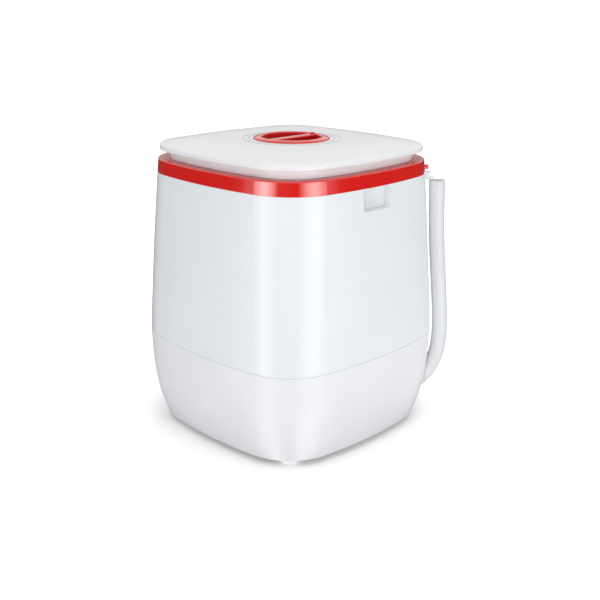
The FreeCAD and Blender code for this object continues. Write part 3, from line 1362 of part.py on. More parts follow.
def switch_lead():
    """From the back of the terminal strip up to the rocker switch."""
    rear = TERMINAL_PLACE[1] + TERMINAL_SIZE[1] / 2
    low = PLATE_TOP + TERMINAL_SIZE[2] / 4
    back = panel_face() - SWITCH_DEPTH
    return [(SWITCH_X, rear, low), (SWITCH_X, rear + 2 * WIRE_BEND, low),
            (SWITCH_X, rear + 3 * WIRE_BEND, low + 3 * WIRE_BEND),
            (SWITCH_X, back - 4 * WIRE_BEND, PANEL_Z - 4 * WIRE_BEND),
            (SWITCH_X, back - 2 * WIRE_BEND, PANEL_Z), (SWITCH_X, back, PANEL_Z)]


def capacitor_lead():
    """From the end of the terminal strip over to the top of the capacitor."""
    left = TERMINAL_PLACE[0] - TERMINAL_SIZE[0] / 2
    y = TERMINAL_PLACE[1]
    low = PLATE_TOP + TERMINAL_SIZE[2] / 4
    can_x, can_y = CAPACITOR_PLACE
    can_top = PLATE_TOP + CAPACITOR_HEIGHT
    rise = (can_top + PANEL_Z) / 2
    return [(left, y, low), (left - 2 * WIRE_BEND, y, low),
            (left - 4 * WIRE_BEND, y - WIRE_BEND, low + 3 * WIRE_BEND),
            ((left + can_x) / 2, (y + can_y) / 2, rise),
            (can_x + WIRE_BEND, can_y + WIRE_BEND, rise + WIRE_BEND),
            (can_x, can_y, can_top + 2 * WIRE_BEND), (can_x, can_y, can_top)]


def motor_lead():
    """From the front of the terminal strip to the side of the motor's upper cap."""
    x = TERMINAL_PLACE[0]
    near = TERMINAL_PLACE[1] - TERMINAL_SIZE[1] / 2
    low = PLATE_TOP + TERMINAL_SIZE[2] / 4
    side = MOTOR_Y + STATOR_RADIUS
    high = CAP_HIGH - MOTOR_CAP / 2
    return [(x, near, low), (x, near - 3 * WIRE_BEND, low),
            (MOTOR_X, near - 10 * WIRE_BEND, low + 4 * WIRE_BEND),
            (MOTOR_X, side + 12 * WIRE_BEND, high - 4 * WIRE_BEND),
            (MOTOR_X, side + 3 * WIRE_BEND, high), (MOTOR_X, side, high)]


def make_wiring():
    """Leads from the terminal strip to the switch, the capacitor and the motor."""
    leads = []
    for route in (switch_lead(), capacitor_lead(), motor_lead()):
        leads.append(bent_rod([Vector(*point) for point in route], WIRE_RADIUS))
    return leads


# Write every piece

PIECES = {
    "tub": make_tub, "base_skirt": make_base_skirt, "base_plate": make_base_plate,
    "base_screws": make_base_screws, "feet": make_feet, "foot_screws": make_foot_screws,
    "rim_ring": make_rim_ring, "lid_seal": make_lid_seal, "lid_cover": make_lid_cover,
    "lid_liner": make_lid_liner, "lid_screws": make_lid_screws, "bolt_keepers": make_bolt_keepers,
    "lock_knob": make_lock_knob, "lock_cam": make_lock_cam, "cam_screw": make_cam_screw,
    "rear_bolt": make_rear_bolt, "front_bolt": make_front_bolt, "pulsator": make_pulsator,
    "pulsator_screw": make_pulsator_screw, "drive_shaft": make_drive_shaft,
    "bearing_housing": make_bearing_housing, "lower_bush": make_lower_bush, "upper_bush": make_upper_bush,
    "shaft_seal": make_shaft_seal, "floor_screws": make_floor_screws, "driven_pulley": make_driven_pulley,
    "pulley_nut": make_pulley_nut, "motor_pulley": make_motor_pulley, "drive_belt": make_drive_belt,
    "motor_stator": make_motor_stator, "motor_windings": make_motor_windings,
    "motor_lower_cap": make_motor_lower_cap, "motor_upper_cap": make_motor_upper_cap,
    "motor_bearings": make_motor_bearings, "motor_rotor": make_motor_rotor, "motor_shaft": make_motor_shaft,
    "motor_fan": make_motor_fan, "motor_bracket": make_motor_bracket, "motor_grommets": make_motor_grommets,
    "motor_screws": make_motor_screws, "motor_bolts": make_motor_bolts, "drain_hose": make_drain_hose,
    "drain_sump": make_drain_sump, "drain_grate": make_drain_grate, "hose_clamp": make_hose_clamp,
    "hose_hook": make_hose_hook, "hook_peg": make_hook_peg, "switch_housing": make_switch_housing,
    "switch_key": make_switch_key, "cord_gland": make_cord_gland, "capacitor": make_capacitor,
    "capacitor_clip": make_capacitor_clip, "terminal_block": make_terminal_block, "wiring": make_wiring,
}


def write(name, shape):
    solids = []
    for piece in shape if isinstance(shape, list) else [shape]:
        solids += piece.Solids
    body = solids[0] if len(solids) == 1 else Part.makeCompound(solids)
    if not body.isValid():
        print("invalid shape:", name)
    body.exportStep("parts/%s.step" % name)
    print("%-18s solids %d volume %.0f" % (name, len(solids), sum(solid.Volume for solid in solids)))


os.makedirs("parts", exist_ok=True)
for name, make in PIECES.items():
    write(name, make())
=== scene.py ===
import math

import bmesh
import bpy
from mathutils import Matrix, Vector


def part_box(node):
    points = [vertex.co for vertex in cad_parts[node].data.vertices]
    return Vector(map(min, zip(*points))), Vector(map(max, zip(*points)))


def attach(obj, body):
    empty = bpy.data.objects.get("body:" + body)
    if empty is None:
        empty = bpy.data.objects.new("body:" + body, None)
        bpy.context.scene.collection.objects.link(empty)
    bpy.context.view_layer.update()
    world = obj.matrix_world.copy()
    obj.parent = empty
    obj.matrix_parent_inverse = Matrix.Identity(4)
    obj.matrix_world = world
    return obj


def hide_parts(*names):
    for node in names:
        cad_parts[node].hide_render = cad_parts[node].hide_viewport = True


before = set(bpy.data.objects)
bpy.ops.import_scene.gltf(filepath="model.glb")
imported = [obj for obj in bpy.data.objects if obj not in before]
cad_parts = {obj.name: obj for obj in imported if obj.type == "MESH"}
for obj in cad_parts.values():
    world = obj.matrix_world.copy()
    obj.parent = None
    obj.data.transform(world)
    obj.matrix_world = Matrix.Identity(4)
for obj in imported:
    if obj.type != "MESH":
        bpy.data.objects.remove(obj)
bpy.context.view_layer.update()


# Base tray: a flat moulded plate with vent slots under the motor, which closes the machine from below.
# It is dark glass-filled plastic with a dull spark-eroded grain, held by long screws into the tub posts.

def put(tree, kind, sockets=None, **options):
    """Add a shader node, set its options, then set its sockets or join them to other nodes."""
    node = tree.nodes.new("ShaderNode" + kind)
    for option, value in options.items():
        setattr(node, option, value)
    for name, value in (sockets or {}).items():
        if isinstance(value, bpy.types.NodeSocket):
            tree.links.new(value, node.inputs[name])
        else:
            node.inputs[name].default_value = value
    return node


def sums(tree, operation, first, second=0.0, clamp=False):
    """One Math node and its result."""
    return put(tree, "Math", {0: first, 1: second}, operation=operation, use_clamp=clamp).outputs[0]


def scaled_sum(tree, value, factor, start):
    """A value times a factor, added to a start."""
    return put(tree, "Math", {0: value, 1: factor, 2: start}, operation="MULTIPLY_ADD").outputs[0]


def ramp(tree, value, low, high, to_low=0.0, to_high=1.0):
    """Spread the part of a value between low and high over a new range."""
    return put(tree, "MapRange", {"Value": value, "From Min": low, "From Max": high,
                                  "To Min": to_low, "To Max": to_high}, clamp=True).outputs[0]


def blend_colours(tree, share, first, second):
    """Mix of two colours."""
    return put(tree, "Mix", {0: share, 6: first, 7: second}, data_type="RGBA").outputs[2]


def rgb(colour):
    """Colour with full cover."""
    return (*colour, 1.0)


def effect(name, inputs, outputs, normals=()):
    """Start a shader node group with plain number sockets, and outputs for normals where it has any."""
    tree = bpy.data.node_groups.new(name, "ShaderNodeTree")
    for label, value in inputs.items():
        socket = tree.interface.new_socket(label, in_out="INPUT", socket_type="NodeSocketFloat")
        socket.default_value = value
    for label in outputs:
        tree.interface.new_socket(label, in_out="OUTPUT", socket_type="NodeSocketFloat")
    for label in normals:
        tree.interface.new_socket(label, in_out="OUTPUT", socket_type="NodeSocketVector")
    return tree, tree.nodes.new("NodeGroupInput").outputs, tree.nodes.new("NodeGroupOutput").inputs


# What a mould leaves on plastic: fine grain, slow waviness and a faint drift of shade
DRIFT_SCALE = 11.0
skin, skin_in, skin_out = effect("moulded_skin", {"Grain Scale": 1200.0, "Peel Scale": 90.0},
                                 ("Grain", "Peel", "Drift"))
skin_place = put(skin, "TexCoord").outputs["Object"]
for label, scale, detail in (("Grain", skin_in["Grain Scale"], 2.0), ("Peel", skin_in["Peel Scale"], 1.0),
                             ("Drift", DRIFT_SCALE, 3.0)):
    cloud = put(skin, "TexNoise", {"Vector": skin_place, "Scale": scale, "Detail": detail})
    skin.links.new(cloud.outputs["Fac"], skin_out[label])

# Corners broken by the mould and rubbed by hands and cloths, with an uneven line of wear
EDGE_TURN = (0.98, 0.80)
WEAR_SCALE = 140.0
WEAR_PATCHES = (0.35, 0.65)
rub, rub_in, rub_out = effect("edge_rub", {"Reach": 0.001}, ("Edge",), ("Rounded",))
rub_round = put(rub, "Bevel", {"Radius": rub_in["Reach"]}, samples=4).outputs["Normal"]
rub_flat = put(rub, "NewGeometry").outputs["Normal"]
rub_turn = put(rub, "VectorMath", {0: rub_round, 1: rub_flat}, operation="DOT_PRODUCT").outputs["Value"]
rub_place = put(rub, "TexCoord").outputs["Object"]
rub_cloud = put(rub, "TexNoise", {"Vector": rub_place, "Scale": WEAR_SCALE, "Detail": 4.0}).outputs["Fac"]
rub_edge = sums(rub, "MULTIPLY", ramp(rub, rub_turn, *EDGE_TURN), ramp(rub, rub_cloud, *WEAR_PATCHES))
rub.links.new(rub_edge, rub_out["Edge"])
rub.links.new(rub_round, rub_out["Rounded"])

# What handling leaves: hairline scratches one way and another, and soft smudges
SCRATCH_WAYS = (((0.3, 0.2, 0.5), (9.0, 700.0, 240.0)), ((-0.4, 0.1, -0.9), (520.0, 7.0, 310.0)))
SCRATCH_PEAKS = (0.70, 0.76)
SMUDGE_SCALE = 16.0
SMUDGE_PATCHES = (0.40, 0.72)
marks, _, marks_out = effect("handling_marks", {}, ("Scratch", "Smudge"))
marks_place = put(marks, "TexCoord").outputs["Object"]
lines = []
for turn, stretch in SCRATCH_WAYS:
    turned = put(marks, "Mapping", {"Vector": marks_place, "Rotation": turn, "Scale": stretch}).outputs[0]
    hair = put(marks, "TexNoise", {"Vector": turned, "Scale": 1.0, "Detail": 1.0}).outputs["Fac"]
    lines.append(ramp(marks, hair, *SCRATCH_PEAKS))
marks.links.new(sums(marks, "MAXIMUM", *lines), marks_out["Scratch"])
smudge = put(marks, "TexNoise", {"Vector": marks_place, "Scale": SMUDGE_SCALE, "Detail": 4.0,
                                 "Distortion": 0.6}).outputs["Fac"]
marks.links.new(ramp(marks, smudge, *SMUDGE_PATCHES), marks_out["Smudge"])

DRIFT_PATCHES = (0.3, 0.7)
SMUDGE_DULLS = 0.06
SCRATCH_DULLS = 0.10


def plastic(name, colour, shade, roughness, grain, peel, edge, rubbed, **sockets):
    """Moulded plastic: a base colour drifting to a shade, grain and peel as (scale, depth), rubbed edges."""
    material = bpy.data.materials.new(name)
    material.use_nodes = True
    tree = material.node_tree
    shader = tree.nodes["Principled BSDF"]
    surface = put(tree, "Group", node_tree=skin)
    surface.inputs["Grain Scale"].default_value = grain[0]
    surface.inputs["Peel Scale"].default_value = peel[0]
    worn = put(tree, "Group", node_tree=rub)
    worn.inputs["Reach"].default_value = edge
    handled = put(tree, "Group", node_tree=marks)
    drift = ramp(tree, surface.outputs["Drift"], *DRIFT_PATCHES)
    body = blend_colours(tree, drift, rgb(colour), rgb(shade))
    body = blend_colours(tree, worn.outputs["Edge"], body, rgb(rubbed))
    tree.links.new(body, shader.inputs["Base Color"])
    dull = scaled_sum(tree, handled.outputs["Smudge"], SMUDGE_DULLS, roughness)
    dull = scaled_sum(tree, handled.outputs["Scratch"], SCRATCH_DULLS, dull)
    tree.links.new(dull, shader.inputs["Roughness"])
    wave = put(tree, "Bump", {"Height": surface.outputs["Peel"], "Distance": peel[1],
                              "Normal": worn.outputs["Rounded"]})
    fine = put(tree, "Bump", {"Height": surface.outputs["Grain"], "Distance": grain[1],
                              "Normal": wave.outputs[0]})
    tree.links.new(fine.outputs[0], shader.inputs["Normal"])
    for label, value in sockets.items():
        shader.inputs[label.replace("_", " ")].default_value = value
    return material


def dress(material, *nodes):
    """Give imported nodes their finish."""
    for node in nodes:
        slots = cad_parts[node].data.materials
        slots.clear()
        slots.append(material)


tray_plastic = plastic("tray_plastic", colour=(0.030, 0.030, 0.032), shade=(0.040, 0.040, 0.042),
                       roughness=0.52, grain=(1500.0, 1.6e-5), peel=(60.0, 1e-5), edge=0.0008,
                       rubbed=(0.09, 0.09, 0.09))
dress(tray_plastic, "base_plate")


# Tray screws: pan heads with a cross recess, zinc plated and clear passivated, four long ones into the
# tub posts and four short ones up through the feet. The plating has a faint spangle and bare high spots.

METAL_EDGE = 0.0005
METAL_PATCHES = (0.35, 0.65)
BARE_EDGE_LIFT = 1.25


def metal(name, colour, shade, roughness, lay, lay_depth, spots, tarnish):
    """Metal with tool marks along a lay given as three stretches, blotches of shade and rubbed edges."""
    material = bpy.data.materials.new(name)
    material.use_nodes = True
    tree = material.node_tree
    shader = tree.nodes["Principled BSDF"]
    shader.inputs["Metallic"].default_value = 1.0
    place = put(tree, "TexCoord").outputs["Object"]
    along = put(tree, "Mapping", {"Vector": place, "Scale": lay}).outputs[0]
    strokes = put(tree, "TexNoise", {"Vector": along, "Scale": 1.0, "Detail": 3.0}).outputs["Fac"]
    cloud = put(tree, "TexNoise", {"Vector": place, "Scale": spots, "Detail": 4.0}).outputs["Fac"]
    worn = put(tree, "Group", node_tree=rub)
    worn.inputs["Reach"].default_value = METAL_EDGE
    body = blend_colours(tree, ramp(tree, cloud, *METAL_PATCHES), rgb(colour), rgb(shade))
    lit = tuple(min(1.0, channel * BARE_EDGE_LIFT) for channel in colour)
    body = blend_colours(tree, worn.outputs["Edge"], body, rgb(lit))
    tree.links.new(body, shader.inputs["Base Color"])
    tree.links.new(scaled_sum(tree, strokes, tarnish, roughness), shader.inputs["Roughness"])
    bump = put(tree, "Bump", {"Height": strokes, "Distance": lay_depth, "Normal": worn.outputs["Rounded"]})
    tree.links.new(bump.outputs[0], shader.inputs["Normal"])
    return material


zinc_steel = metal("zinc_steel", colour=(0.62, 0.62, 0.60), shade=(0.52, 0.53, 0.55), roughness=0.30,
                   lay=(900.0, 900.0, 900.0), lay_depth=4e-6, spots=260.0, tarnish=0.16)
dress(zinc_steel, "base_screws", "foot_screws")


# Feet: four pads of white rubber, moulded with a neck that passes the skirt's edge and a sunk screw seat.
# Each one is held up against the base by its own short screw.

pale_rubber = plastic("pale_rubber", colour=(0.92, 0.92, 0.92), shade=(0.90, 0.90, 0.90), roughness=0.62,
                      grain=(900.0, 1.2e-5), peel=(150.0, 2e-5), edge=0.001, rubbed=(0.62, 0.62, 0.61))
dress(pale_rubber, "feet")


# Base skirt: the opaque white shell round the drive, injection moulded with a satin grain.
# It is clamped between the tray and the tub, and its rear panel is sunk for the switch and the cable.

skirt_plastic = plastic("skirt_plastic", colour=(0.79, 0.80, 0.81), shade=(0.76, 0.77, 0.78), roughness=0.46,
                        grain=(1100.0, 9e-6), peel=(70.0, 1.5e-5), edge=0.0012, rubbed=(0.85, 0.85, 0.85),
                        Specular_IOR_Level=0.35)
dress(skirt_plastic, "base_skirt")


# Motor: a laminated steel stator with copper coils between two cast caps, on a pressed steel bracket.
# The bracket hangs from the tub floor on rubber grommets, and long bolts clamp the stack together.

LAMINATION_SCALE = 480.0
WIRE_SCALE = 380.0
STAIN_SCALE = 70.0
STAIN_PATCHES = (0.45, 0.75)
STAIN_SHADE = 0.7
DULL_PATCHES = (0.3, 0.7)
DULL_RISE = 0.18


def striped(name, colour, shade, roughness, kind, scale, depth, centre=(0.0, 0.0, 0.0)):
    """Metal in fine even layers or turns along the upright axis: stacked sheets or wound wire."""
    material = bpy.data.materials.new(name)
    material.use_nodes = True
    tree = material.node_tree
    shader = tree.nodes["Principled BSDF"]
    shader.inputs["Metallic"].default_value = 1.0
    place = put(tree, "TexCoord").outputs["Object"]
    moved = put(tree, "VectorMath", {0: place, 1: centre}, operation="SUBTRACT").outputs[0]
    wave = put(tree, "TexWave", {"Vector": moved, "Scale": scale, "Distortion": 0.4, "Detail": 1.0},
               wave_type=kind, bands_direction="Z", rings_direction="Z").outputs["Fac"]
    cloud = put(tree, "TexNoise", {"Vector": place, "Scale": STAIN_SCALE, "Detail": 5.0}).outputs["Fac"]
    body = blend_colours(tree, wave, rgb(shade), rgb(colour))
    dark = tuple(channel * STAIN_SHADE for channel in shade)
    body = blend_colours(tree, ramp(tree, cloud, *STAIN_PATCHES), body, rgb(dark))
    tree.links.new(body, shader.inputs["Base Color"])
    dull = ramp(tree, cloud, *DULL_PATCHES, roughness, roughness + DULL_RISE)
    tree.links.new(dull, shader.inputs["Roughness"])
    bump = put(tree, "Bump", {"Height": wave, "Distance": depth})
    tree.links.new(bump.outputs[0], shader.inputs["Normal"])
    return material


def middle(node):
    """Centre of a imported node's box."""
    low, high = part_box(node)
    return (low + high) / 2


core_steel = striped("core_steel", colour=(0.30, 0.30, 0.31), shade=(0.20, 0.20, 0.21), roughness=0.42,
                     kind="BANDS", scale=LAMINATION_SCALE, depth=6e-5)
coil_middle = middle("motor_windings")
copper_wire = striped("copper_wire", colour=(0.58, 0.24, 0.10), shade=(0.36, 0.13, 0.05), roughness=0.28,
                      kind="RINGS", scale=WIRE_SCALE, depth=3e-4, centre=(coil_middle.x, coil_middle.y, 0.0))
cast_alloy = metal("cast_alloy", colour=(0.58, 0.58, 0.59), shade=(0.48, 0.48, 0.50), roughness=0.40,
                   lay=(700.0, 700.0, 700.0), lay_depth=2.5e-5, spots=120.0, tarnish=0.20)
ground_steel = metal("ground_steel", colour=(0.66, 0.66, 0.66), shade=(0.58, 0.58, 0.59), roughness=0.20,
                     lay=(60.0, 60.0, 2600.0), lay_depth=3e-6, spots=90.0, tarnish=0.14)
white_nylon = plastic("white_nylon", colour=(0.80, 0.80, 0.79), shade=(0.75, 0.75, 0.74), roughness=0.40,
                      grain=(1000.0, 8e-6), peel=(80.0, 1.5e-5), edge=0.0008, rubbed=(0.84, 0.84, 0.84),
                      Specular_IOR_Level=0.4)
black_rubber = plastic("black_rubber", colour=(0.018, 0.018, 0.018), shade=(0.030, 0.029, 0.028),
                       roughness=0.66, grain=(1400.0, 1.8e-5), peel=(200.0, 1.5e-5), edge=0.0008,
                       rubbed=(0.07, 0.068, 0.066))
dress(core_steel, "motor_stator", "motor_rotor")
dress(copper_wire, "motor_windings")
dress(cast_alloy, "motor_lower_cap", "motor_upper_cap")
dress(ground_steel, "motor_shaft", "motor_bearings")
dress(white_nylon, "motor_fan")
dress(black_rubber, "motor_grommets")
dress(zinc_steel, "motor_bracket", "motor_screws", "motor_bolts")


# Belt drive: a small cast pulley on the motor turns a large one on the drive shaft by a rubber belt.
# The large pulley is clamped on its shaft by a plated nut.

dress(cast_alloy, "driven_pulley", "motor_pulley")
dress(zinc_steel, "pulley_nut")
dress(black_rubber, "drive_belt")


# Shaft and bearing: a ground steel shaft in two sintered bronze bushes, in a plastic housing under the tub.
# A rubber lip seal keeps the water in, and short screws hold the housing and the drain sump to the floor.

bronze = metal("bronze", colour=(0.60, 0.40, 0.17), shade=(0.48, 0.30, 0.12), roughness=0.36,
               lay=(1500.0, 1500.0, 1500.0), lay_depth=1.2e-5, spots=300.0, tarnish=0.18)
dress(tray_plastic, "bearing_housing")
dress(ground_steel, "drive_shaft")
dress(bronze, "lower_bush", "upper_bush")
dress(black_rubber, "shaft_seal")
dress(zinc_steel, "floor_screws")


# Electrics: a drawn aluminium capacitor in a spring clip, a screw terminal block and three covered leads.
# The rocker switch and the cable gland are satin black plastic, set in the sunk panel at the back.

black_plastic = plastic("black_plastic", colour=(0.020, 0.020, 0.021), shade=(0.028, 0.028, 0.029),
                        roughness=0.38, grain=(1500.0, 1e-5), peel=(90.0, 1e-5), edge=0.0006,
                        rubbed=(0.085, 0.085, 0.085))
dress(cast_alloy, "capacitor")
dress(zinc_steel, "capacitor_clip")
dress(tray_plastic, "terminal_block", "switch_housing")
dress(black_plastic, "cord_gland", "wiring")


# Rocker key: moulded in one piece from black plastic, it tips in the switch body.
# A bar for on and a ring for off are pad printed in white paint on its face.

ON_MARK_RISE = 0.0040
OFF_MARK_DROP = 0.0058
PAINT_STARTS_PROUD = 0.0005
MARK_HALF = 0.0023
PAINT_HALF = 0.0004
PAINT_EDGE = 0.0001
PAINT_COLOUR = (0.78, 0.78, 0.76)
key_middle = middle("switch_key")
paint_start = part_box("switch_housing")[1].y + PAINT_STARTS_PROUD
key_plastic = plastic("key_plastic", colour=(0.020, 0.020, 0.021), shade=(0.028, 0.028, 0.029),
                      roughness=0.30, grain=(1500.0, 8e-6), peel=(90.0, 1e-5), edge=0.0006,
                      rubbed=(0.085, 0.085, 0.085))
key_tree = key_plastic.node_tree
key_shader = key_tree.nodes["Principled BSDF"]
key_place = put(key_tree, "SeparateXYZ", {0: put(key_tree, "TexCoord").outputs["Object"]}).outputs
key_aside = sums(key_tree, "ABSOLUTE", sums(key_tree, "SUBTRACT", key_place["X"], key_middle.x))
bar_up = sums(key_tree, "SUBTRACT", key_place["Z"], key_middle.z + ON_MARK_RISE)
bar_up = sums(key_tree, "ABSOLUTE", bar_up)
bar_off = sums(key_tree, "MAXIMUM", sums(key_tree, "SUBTRACT", key_aside, PAINT_HALF),
               sums(key_tree, "SUBTRACT", bar_up, MARK_HALF))
ring_up = sums(key_tree, "SUBTRACT", key_place["Z"], key_middle.z - OFF_MARK_DROP)
ring_squares = sums(key_tree, "ADD", sums(key_tree, "MULTIPLY", key_aside, key_aside),
                    sums(key_tree, "MULTIPLY", ring_up, ring_up))
ring_reach = sums(key_tree, "SQRT", ring_squares)
ring_off = sums(key_tree, "ABSOLUTE", sums(key_tree, "SUBTRACT", ring_reach, MARK_HALF))
ring_off = sums(key_tree, "SUBTRACT", ring_off, PAINT_HALF)
painted = ramp(key_tree, sums(key_tree, "MINIMUM", bar_off, ring_off), 0.0, PAINT_EDGE, 1.0, 0.0)
painted = sums(key_tree, "MULTIPLY", painted, sums(key_tree, "GREATER_THAN", key_place["Y"], paint_start))
key_body = key_shader.inputs["Base Color"].links[0].from_socket
key_body = blend_colours(key_tree, painted, key_body, rgb(PAINT_COLOUR))
key_tree.links.new(key_body, key_shader.inputs["Base Color"])
dress(key_plastic, "switch_key")


# Drain: a moulded sump under the tub floor with a slotted grate above it.
# A plated steel clamp holds the hose on the sump's spigot.

dress(tray_plastic, "drain_sump")
dress(white_nylon, "drain_grate")
dress(zinc_steel, "hose_clamp")


# Drain hose: milky flexible tube, 24 mm outside, pushed on the sump's spigot inside the base.
# It comes out of the skirt at the rear right corner, turns up and is parked on the hook below the rim.

HOSE_RADIUS = 0.012
HOSE_WALL = 0.0023
HOSE_MILKINESS = 0.25
HOSE_LIGHT_DEPTH = 0.006
HOSE_ROUTE = (
    (0.1280, 0.0375), (0.1500, 0.0380), (0.1770, 0.0410), (0.2005, 0.0520),
    (0.2178, 0.0710), (0.2294, 0.0960), (0.2333, 0.1240), (0.2329, 0.1600),
    (0.2283, 0.2120), (0.2232, 0.2640), (0.2192, 0.3200), (0.2178, 0.3750),
)
DIAGONAL = math.sqrt(0.5)

# The route lies in the upright plane through the rear right corner: reach from the middle, and height
hose_points = [(reach * DIAGONAL, reach * DIAGONAL, height) for reach, height in HOSE_ROUTE]
hose_curve = bpy.data.curves.new("drain_hose_tube", "CURVE")
hose_curve.dimensions = "3D"
hose_curve.bevel_depth = HOSE_RADIUS
hose_curve.bevel_resolution = 10
hose_curve.resolution_u = 14
hose_line = hose_curve.splines.new("NURBS")
hose_line.points.add(len(hose_points) - 1)
for point, place in zip(hose_line.points, hose_points):
    point.co = (*place, 1.0)
hose_line.order_u = 3
hose_line.use_endpoint_u = True
drain_hose = bpy.data.objects.new("drain_hose_tube", hose_curve)
bpy.context.scene.collection.objects.link(drain_hose)
hose_wall = drain_hose.modifiers.new("wall", "SOLIDIFY")
hose_wall.thickness = HOSE_WALL
hose_wall.offset = -1.0
hose_plastic = plastic("hose_plastic", colour=(0.70, 0.71, 0.72), shade=(0.67, 0.68, 0.69), roughness=0.34,
                       grain=(600.0, 8e-6), peel=(110.0, 6e-5), edge=0.0008, rubbed=(0.82, 0.82, 0.82),
                       Specular_IOR_Level=0.4, Subsurface_Weight=HOSE_MILKINESS,
                       Subsurface_Radius=(HOSE_LIGHT_DEPTH, HOSE_LIGHT_DEPTH, HOSE_LIGHT_DEPTH),
                       Subsurface_Scale=1.0)
hose_curve.materials.append(hose_plastic)
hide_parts("drain_hose")
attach(drain_hose, "cabinet")


# Wash tub: one thick wall of glossy white polypropylene, with the floor and both carry grips.
# It is injection moulded from the centre of the floor, so its gloss is wavy and its shade barely drifts.

tub_plastic = plastic("tub_plastic", colour=(0.80, 0.82, 0.84), shade=(0.785, 0.805, 0.825), roughness=0.20,
                      grain=(900.0, 1e-6), peel=(45.0, 2.5e-5), edge=0.0012, rubbed=(0.84, 0.85, 0.86),
                      Specular_IOR_Level=0.3)
dress(tub_plastic, "tub")


# Pulsator: the ribbed agitator disc on the tub floor, moulded in satin white plastic.
# It sits on the upper end of the drive shaft and is held there by one plated screw.

dress(white_nylon, "pulsator")
dress(zinc_steel, "pulsator_screw")


# Rim ring: a deep red glossy moulding that plugs into the tub, with a flat ledge and a seat for the lid.
# The band is polished and the ledge is dull from the mould, with painted shade from the lid darkening its
# red. A soft white silicone gasket lies on the seat.

LEDGE_STARTS_BELOW = 0.0007
LEDGE_FULL_BELOW = 0.0001
LEDGE_DULLER = 0.26
BAND_COAT = 1.0
LEDGE_COAT = 0.40
# Darker red painted on the ledge as the shade under the lid
LEDGE_PAINTED_SHADE_COLOUR = (0.50, 0.004, 0.003)
red_plastic = plastic("red_plastic", colour=(0.72, 0.006, 0.002), shade=(0.69, 0.005, 0.002), roughness=0.14,
                      grain=(1200.0, 1e-6), peel=(60.0, 2e-5), edge=0.0010, rubbed=(0.74, 0.02, 0.012),
                      Specular_IOR_Level=0.5, Coat_Roughness=0.08, Coat_IOR=1.62)
red_tree = red_plastic.node_tree
red_shader = red_tree.nodes["Principled BSDF"]
red_height = put(red_tree, "SeparateXYZ", {0: put(red_tree, "TexCoord").outputs["Object"]}).outputs["Z"]
rim_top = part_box("rim_ring")[1].z
ledge_dull_and_shade_share = ramp(red_tree, red_height, rim_top - LEDGE_STARTS_BELOW, rim_top - LEDGE_FULL_BELOW)
band_colour = red_shader.inputs["Base Color"].links[0].from_socket
# Painted shade: the ledge's red is blended darker where the lid overhangs it
red_tree.links.new(blend_colours(red_tree, ledge_dull_and_shade_share, band_colour, rgb(LEDGE_PAINTED_SHADE_COLOUR)),
                   red_shader.inputs["Base Color"])
band_dull = red_shader.inputs["Roughness"].links[0].from_socket
ledge_dull = sums(red_tree, "MULTIPLY", ledge_dull_and_shade_share, LEDGE_DULLER)
red_tree.links.new(sums(red_tree, "ADD", band_dull, ledge_dull), red_shader.inputs["Roughness"])
red_tree.links.new(ramp(red_tree, ledge_dull_and_shade_share, 0.0, 1.0, BAND_COAT, LEDGE_COAT),
                   red_shader.inputs["Coat Weight"])
soft_seal = plastic("soft_seal", colour=(0.70, 0.70, 0.70), shade=(0.66, 0.66, 0.66), roughness=0.5,
                    grain=(1300.0, 8e-6), peel=(120.0, 2e-5), edge=0.0008, rubbed=(0.74, 0.74, 0.74))
dress(red_plastic, "rim_ring")
dress(soft_seal, "lid_seal")


# Hose hook and peg: a small white lug on the tub corner with a finger that the hose end slips over,
# and the red button of the screw peg above it, set in the rim.

dress(white_nylon, "hose_hook")
dress(red_plastic, "hook_peg")


# Lid: a crowned white cover with rounded edges over a liner whose collar drops into the rim.
# The liner guides two bolts under straps; four screws hold it to the bosses of the cover.

lid_plastic = plastic("lid_plastic", colour=(0.81, 0.815, 0.82), shade=(0.785, 0.79, 0.795), roughness=0.30,
                      grain=(1300.0, 2.5e-6), peel=(55.0, 1.5e-5), edge=0.0012, rubbed=(0.86, 0.86, 0.86),
                      Specular_IOR_Level=0.3)
liner_plastic = plastic("liner_plastic", colour=(0.93, 0.935, 0.94), shade=(0.91, 0.915, 0.92),
                        roughness=0.42, grain=(1100.0, 6e-6), peel=(60.0, 1.5e-5), edge=0.0010,
                        rubbed=(0.94, 0.94, 0.94), Specular_IOR_Level=0.3)
dress(lid_plastic, "lid_cover")
dress(liner_plastic, "lid_liner")
dress(zinc_steel, "lid_screws")
dress(white_nylon, "bolt_keepers", "front_bolt", "rear_bolt", "lock_cam")


# Lock handle: a red dish with a polished rim, a grip bar across it and a pointer, turned by hand.
# The sunk part is dull from the mould's texture, with its red painted deeper as shade in the dish. Below the
# lid one screw holds the cam to it.

DISH_SHADE_AND_DULL_DEPTH = 0.0035
RIM_SHINE_DEPTH = 0.0020
DISH_SHADE_AND_DULL_INSET = 0.0115
RIM_SHINE_INSET = 0.0100
